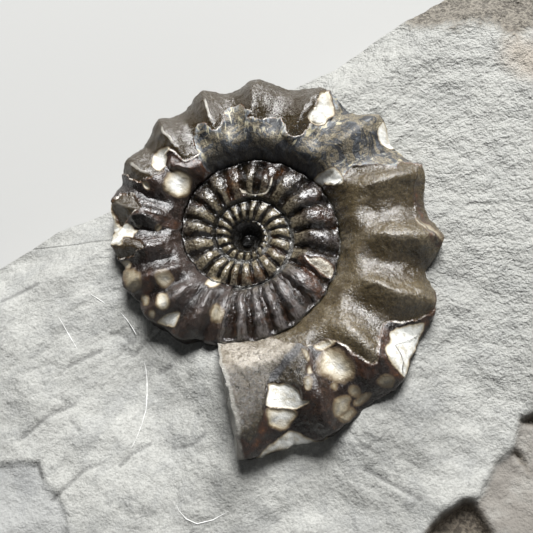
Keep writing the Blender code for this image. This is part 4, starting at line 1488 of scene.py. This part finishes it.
    bare = t.inverse(shell)
    silky = t.times(t.ramp(age, -205.0, -235.0), bare)
    rough_cast = t.ramp(medium, 0.3, 0.7, 0.20, 0.30)
    rough_shell = t.minus(t.ramp(medium, 0.3, 0.7, 0.24, 0.32), t.times(older, 0.13))
    roughness = t.plus(t.times(rough_cast, bare), t.times(rough_shell, shell),
                       t.times(calcite["Mask"], 0.15), t.times(blue, bare, 0.32),
                       t.times(rust, 0.14), t.times(silky, 0.08))
    t.feed(shader.inputs["Roughness"], roughness)
    level = t.plus(t.times(shell, 0.15), t.times(sediment, 0.5), t.ramp(bare, 0.0, 1.0, 0.85, 0.80))
    height = t.plus(t.times(grain["Height"], level), t.times(wrinkles, sediment, 0.8),
                    t.times(streaks, bare, 0.40), t.times(hair, silky, 0.8))
    bumped(t, shader, height, LAST_TURN_BUMP)
    shader.inputs["Specular IOR Level"].default_value = LAST_TURN_GLOSS
    return material


# The inner turns: gaps of the ribs in painted shade and their tops, the shard, the spot, the flake's lip,
# seams and eye; the seams' crevices and the eye carry painted shade too.
GAP_SHADE_BLACK = (0.003, 0.002, 0.0015)
GAP_SHADE_BROWN = (0.012, 0.008, 0.004)
TOP_BLACK = (0.012, 0.009, 0.008)
TOP_GREY = (0.060, 0.050, 0.044)
TOP_TAN_DARK = (0.060, 0.046, 0.026)
TOP_TAN_LIGHT = (0.230, 0.195, 0.130)
SHEEN_MAUVE = (0.075, 0.064, 0.070)
INNER_TAWNY = (0.060, 0.026, 0.011)
INNER_GAP_SHADE = (0.013, 0.006, 0.003)
INNER_CREST_HIGHLIGHT = (0.155, 0.142, 0.138)
INNER_BLOTCH = (0.018, 0.012, 0.006)
SHARD_DARK = (0.22, 0.18, 0.13)
SHARD_PALE = (0.56, 0.52, 0.44)
SHARD_LINE = (0.10, 0.05, 0.03)
SPOT_PALE = (0.52, 0.46, 0.34)
SPOT_OCHRE = (0.36, 0.27, 0.15)
FLAKE_LIP_PALE = (0.60, 0.55, 0.46)
CREVICE_SHADE_BLACK = (0.004, 0.003, 0.002)
GROUT_DARK = (0.11, 0.11, 0.11)
GROUT_PALE = (0.40, 0.39, 0.36)
EYE_SHADE_BLACK = (0.003, 0.0025, 0.002)


def inner_turn_material():
    material, t, shader = new_material("inner_turn_shell")
    mm = t.object_mm()
    growth = t.vector("growth")
    medium = t.noise(mm, 1.1, 4.0, 0.6)
    broad = t.noise(mm, 0.28, 3.0)
    grain = t.effect(SATIN_GRAIN, **{"Position": mm, "Grains per mm": 3.4})
    streaks = t.noise(t.stretched(growth, (3.2, 0.7, 1.0)), 1.0, 4.0, 0.6)
    crest = t.value("crest")
    radius = t.value("radius")
    away = t.value("seam")
    # Painted shade: the gaps between the ribs are near black; the tops keep the turn's tan or black tone.
    top = t.ramp(t.plus(crest, t.times(t.centred(medium), 0.5)), 0.52, 0.78)
    tan_share = t.ramp(t.plus(radius, t.times(broad, 6.0)), 12.5, 7.5)
    gap_shade = t.mix(t.ramp(medium, 0.38, 0.62), GAP_SHADE_BLACK, GAP_SHADE_BROWN)
    black_top = t.mix(t.ramp(grain["Speckle"], 0.38, 0.62), TOP_BLACK, TOP_GREY)
    tan_top = t.mix(t.ramp(grain["Speckle"], 0.38, 0.62), TOP_TAN_DARK, TOP_TAN_LIGHT)
    light = t.mix(tan_share, black_top, tan_top)
    colour = t.mix(top, gap_shade, light)
    sheen = t.times(t.ramp(streaks, 0.48, 0.66), t.ramp(radius, 6.0, 11.0), 0.4)
    colour = t.mix(sheen, colour, SHEEN_MAUVE)
    silky = t.ramp(t.value("age"), -338.0, -315.0)
    hair = t.noise(t.stretched(growth, (5.0, 0.5, 1.0)), 1.0, 3.0, 0.6)
    tawny = t.times(silky, t.ramp(medium, 0.50, 0.66), t.ramp(away, 1.0, 2.6), 0.7)
    colour = t.mix(tawny, colour, INNER_TAWNY)
    # Painted shade: darker in the gaps between the ribs of the outermost inner turn.
    colour = t.tinted(colour, INNER_GAP_SHADE, silky, t.ramp(crest, 0.50, 0.20), 0.85)
    # Painted highlight: pale streaks along the rib crests of the outermost inner turn.
    crest_highlight = t.times(silky, t.ramp(crest, 0.50, 0.90), t.ramp(hair, 0.38, 0.58),
                         t.ramp(away, 0.3, 1.4))
    colour = t.tinted(colour, INNER_CREST_HIGHLIGHT, crest_highlight, 0.75)
    blotch = t.times(t.ramp(t.noise(mm, 1.9, 4.0, 0.65), 0.47, 0.36), t.ramp(radius, 14.0, 11.0), 0.7)
    colour = t.mix(blotch, colour, INNER_BLOTCH)
    rusty = t.effect(RUST_STAIN, Position=mm)["Colour"]
    rust = t.math("MAXIMUM", t.value("rust"), t.times(t.ramp(broad, 0.56, 0.68), 0.5))
    colour = t.tinted(colour, rusty, rust, 0.85)
    shard = t.ramp(t.value("shard"), -0.04, 0.05)
    shard_stone = t.mix(t.ramp(grain["Speckle"], 0.35, 0.6), SHARD_DARK, SHARD_PALE)
    colour = t.mix(shard, colour, shard_stone)
    shard_line = t.along(t.value("shard"), 0.03, 0.11)
    colour = t.tinted(colour, SHARD_LINE, shard_line, 0.8)
    spot = t.ramp(t.plus(t.value("spot"), t.times(t.centred(medium), 1.2)), -0.20, 0.25)
    colour = t.mix(spot, colour, t.mix(t.ramp(medium, 0.40, 0.60), SPOT_PALE, SPOT_OCHRE))
    lip = t.inverse(t.ramp(t.value("lip"), 0.04, 0.13))
    colour = t.tinted(colour, FLAKE_LIP_PALE, lip, t.ramp(medium, 0.34, 0.44))
    crumbs = t.centred(t.noise(mm, 1.5, 4.0, 0.7))
    seam_distance = t.plus(away, t.times(crumbs, 3.0))
    seam = t.times(t.ramp(seam_distance, 0.40, 0.10), t.ramp(away, 0.75, 0.45), t.value("grout"))
    # Painted shade: black along the crevices of the seams.
    crevice = t.times(t.ramp(t.plus(away, t.times(crumbs, 0.5)), 0.62, 0.28), t.ramp(radius, 2.6, 3.4))
    colour = t.tinted(colour, CREVICE_SHADE_BLACK, crevice, 0.92)
    pale = t.times(seam, t.ramp(t.noise(mm, 0.42, 3.0, 0.6), 0.40, 0.52))
    colour = t.tinted(colour, t.mix(t.ramp(streaks, 0.4, 0.6), GROUT_DARK, GROUT_PALE), pale, 0.85)
    # Painted shade: the deep eye of the coil is painted black.
    eye = t.ramp(radius, 2.7, 1.9)
    colour = t.tinted(colour, EYE_SHADE_BLACK, eye, 0.96)
    t.feed(shader.inputs["Base Color"], colour)
    t.feed(shader.inputs["Roughness"], t.plus(t.ramp(medium, 0.3, 0.7, 0.15, 0.26), t.times(silky, 0.10)))
    height = t.plus(t.times(grain["Height"], 0.9), t.times(streaks, t.plus(t.times(silky, 0.6), 0.35)),
                    t.times(hair, silky, 1.1))
    bumped(t, shader, height, INNER_TURN_BUMP)
    shader.inputs["Specular IOR Level"].default_value = INNER_TURN_GLOSS
    return material


# The stone: its grey, grain and beds, then the slab, crust, ledge, pits and creases.
STONE_GREY = (0.328, 0.328, 0.309)
STONE_LIGHT = (0.400, 0.400, 0.376)
STONE_PATCH = (0.245, 0.249, 0.245)
STONE_STREAK = (0.252, 0.256, 0.249)
STONE_GRAIN = (0.160, 0.160, 0.150)
SAND_DARK = (0.155, 0.155, 0.147)
SAND_PALE = (0.50, 0.50, 0.47)
CORNER_PALE = (0.56, 0.56, 0.525)
BED_DARK = (0.205, 0.205, 0.195)
BED_PALE = (0.46, 0.45, 0.42)
SLAB_BLUISH = (0.250, 0.256, 0.262)
CRUST_DARK = (0.070, 0.057, 0.042)
CRUST_SANDY = (0.250, 0.222, 0.180)
WARM_SAND = (0.36, 0.285, 0.21)
LEDGE_DARK = (0.190, 0.172, 0.150)
LEDGE_LIGHT = (0.305, 0.290, 0.262)
PIT_DARK = (0.045, 0.035, 0.025)
PIT_LIGHT = (0.15, 0.125, 0.095)
CREASE_GREY = (0.12, 0.12, 0.115)


def stone_material():
    material, t, shader = new_material("grey_mudstone")
    mm = t.object_mm()
    polar = t.vector("polar")
    cloud = t.noise(mm, 0.07, 3.0)
    patch = t.noise(mm, 0.20, 5.0, 0.6)
    lumps = t.noise(mm, 0.62, 3.0, 0.5)
    grain = t.noise(mm, 1.9, 4.0, 0.66)
    sand = t.noise(mm, 3.4, 2.0, 0.5)
    streak = t.noise(t.stretched(polar, (0.16, 0.60, 0.3)), 1.0, 4.0, 0.55)
    ragged = t.plus(t.times(t.centred(patch), 7.0), t.times(t.centred(grain), 1.6))

    def region(name, soft, uneven):
        return t.ramp(t.plus(t.value(name), t.times(ragged, uneven)), -soft, soft)

    colour = t.mix(t.ramp(cloud, 0.38, 0.62), STONE_GREY, STONE_LIGHT)
    colour = t.tinted(colour, STONE_PATCH, t.ramp(patch, 0.46, 0.66), 0.45)
    colour = t.tinted(colour, STONE_STREAK, t.ramp(streak, 0.50, 0.66), 0.35)
    colour = t.tinted(colour, STONE_GRAIN, t.ramp(grain, 0.54, 0.70), 0.45)
    colour = t.tinted(colour, SAND_DARK, t.ramp(sand, 0.52, 0.68), 0.25)
    colour = t.tinted(colour, SAND_PALE, t.ramp(sand, 0.48, 0.32), 0.35)
    corner = t.ramp(t.plus(t.value("upper_right"), t.times(ragged, 2.0)), 0.0, 34.0)
    colour = t.tinted(colour, CORNER_PALE, corner, 0.40)
    face = t.ramp(t.value("below"), 0.2, 2.0)
    bedding = t.noise(t.stretched(mm, (0.07, 0.07, 0.85)), 1.0, 5.0, 0.6)
    colour = t.tinted(colour, BED_DARK, face, t.ramp(bedding, 0.44, 0.60), 0.75)
    colour = t.tinted(colour, BED_PALE, face, t.ramp(bedding, 0.40, 0.30), 0.5)
    slab = region("slab", 0.5, 0.2)
    colour = t.tinted(colour, SLAB_BLUISH, slab, 0.4)
    crust = region("crust", 1.2, 0.8)
    weather = t.mix(t.ramp(grain, 0.38, 0.60), CRUST_DARK, CRUST_SANDY)
    colour = t.tinted(colour, weather, crust, 0.85)
    warm = region("warm", 2.0, 0.6)
    colour = t.tinted(colour, WARM_SAND, warm, 0.5)
    ledge = region("ledge", 0.5, 0.25)
    colour = t.tinted(colour, t.mix(t.ramp(patch, 0.40, 0.62), LEDGE_DARK, LEDGE_LIGHT), ledge, 0.85)
    pit = region("pit", 0.6, 0.15)
    colour = t.tinted(colour, t.mix(t.ramp(grain, 0.4, 0.6), PIT_DARK, PIT_LIGHT), pit, 0.9)
    crease = t.ramp(t.plus(t.value("crease"), t.times(t.centred(grain), 0.8)), 0.42, 0.05)
    colour = t.tinted(colour, CREASE_GREY, crease, 0.6)
    t.feed(shader.inputs["Base Color"], colour)
    shader.inputs["Roughness"].default_value = STONE_ROUGHNESS
    height = t.plus(t.times(lumps, 0.9), t.times(grain, 0.55), t.times(sand, 0.22),
                    t.times(streak, 0.6), t.times(bedding, face, 2.0))
    shader.inputs["Specular IOR Level"].default_value = STONE_GLOSS
    bumped(t, shader, t.times(height, t.plus(t.times(corner, 2.1), 0.75)), STONE_BUMP)
    return material


FIBRE_GREY = (0.55, 0.55, 0.53)
FIBRE_WHITE = (0.80, 0.80, 0.78)


def fibre_material():
    material, t, shader = new_material("pale_fibre")
    mm = t.object_mm()
    t.feed(shader.inputs["Base Color"],
           t.mix(t.ramp(t.noise(mm, 0.8), 0.4, 0.6), FIBRE_GREY, FIBRE_WHITE))
    shader.inputs["Roughness"].default_value = FIBRE_ROUGHNESS
    return material


# ---- Light, floor and camera -----------------------------------------------------------

FLOOR_REACH = 1.5
FLOOR_GREY = (0.40, 0.40, 0.39, 1.0)
ROOM_BLUE = (0.80, 0.85, 0.92, 1.0)
ROOM_LIGHT = 0.04


def aim(place, target):
    return (Vector(target) - Vector(place)).to_track_quat("-Z", "Y")


def add_softbox(name, offset, size, power):
    data = bpy.data.lights.new(name, "AREA")
    data.shape = "RECTANGLE"
    data.size, data.size_y = size
    data.energy = power
    lamp = bpy.data.objects.new(name, data)
    lamp.location = Vector(COIL_CENTRE) + Vector(offset)
    lamp.rotation_mode = "QUATERNION"
    lamp.rotation_quaternion = aim(lamp.location, COIL_CENTRE)
    bpy.context.scene.collection.objects.link(lamp)


def add_camera():
    data = bpy.data.cameras.new("camera")
    data.lens_unit = "FOV"
    data.angle = VIEW_ANGLE
    data.clip_start = 0.01
    camera = bpy.data.objects.new("camera", data)
    bpy.context.scene.collection.objects.link(camera)
    axes = np.stack((CAMERA_RIGHT, CAMERA_UP, CAMERA_BACK), axis=1)
    rows = [(*row, offset) for row, offset in zip(axes, CAMERA_PLACE)]
    camera.matrix_world = Matrix(rows + [(0.0, 0.0, 0.0, 1.0)])
    bpy.context.scene.camera = camera


def add_floor():
    mesh = bpy.data.meshes.new("floor")
    made = bmesh.new()
    bmesh.ops.create_grid(made, x_segments=1, y_segments=1, size=FLOOR_REACH)
    made.to_mesh(mesh)
    made.free()
    floor = bpy.data.objects.new("floor", mesh)
    bpy.context.scene.collection.objects.link(floor)
    material, _, shader = new_material("pale_floor")
    shader.inputs["Base Color"].default_value = FLOOR_GREY
    shader.inputs["Roughness"].default_value = FLOOR_ROUGHNESS
    mesh.materials.append(material)


def add_world():
    world = bpy.data.worlds.new("studio")
    bpy.context.scene.world = world
    world.use_nodes = True
    background = world.node_tree.nodes["Background"]
    background.inputs["Color"].default_value = ROOM_BLUE
    background.inputs["Strength"].default_value = ROOM_LIGHT


add_camera()
add_floor()
add_world()
add_softbox("key", (0.12, 0.62, 0.66), (0.46, 0.50), 21.5)
add_softbox("fill", (0.25, -0.45, 0.45), (0.40, 0.40), 0.35)
view = bpy.context.scene.view_settings
view.view_transform = "Standard"
view.look = "None"

shell_finish = last_turn_material()
whorl_piece("last_whorl_early", LAST_TURN, LAST_TURN_SPLIT, EARLY_COLUMNS, row_steps(EARLY_ROWS),
            shell_finish, False)
whorl_piece("last_whorl_late", LAST_TURN_SPLIT, MOUTH, LATE_COLUMNS, row_steps(LATE_ROWS),
            shell_finish, True)
inner_piece(inner_turn_material())
stone_piece(stone_material())
fibre_piece(fibre_material())
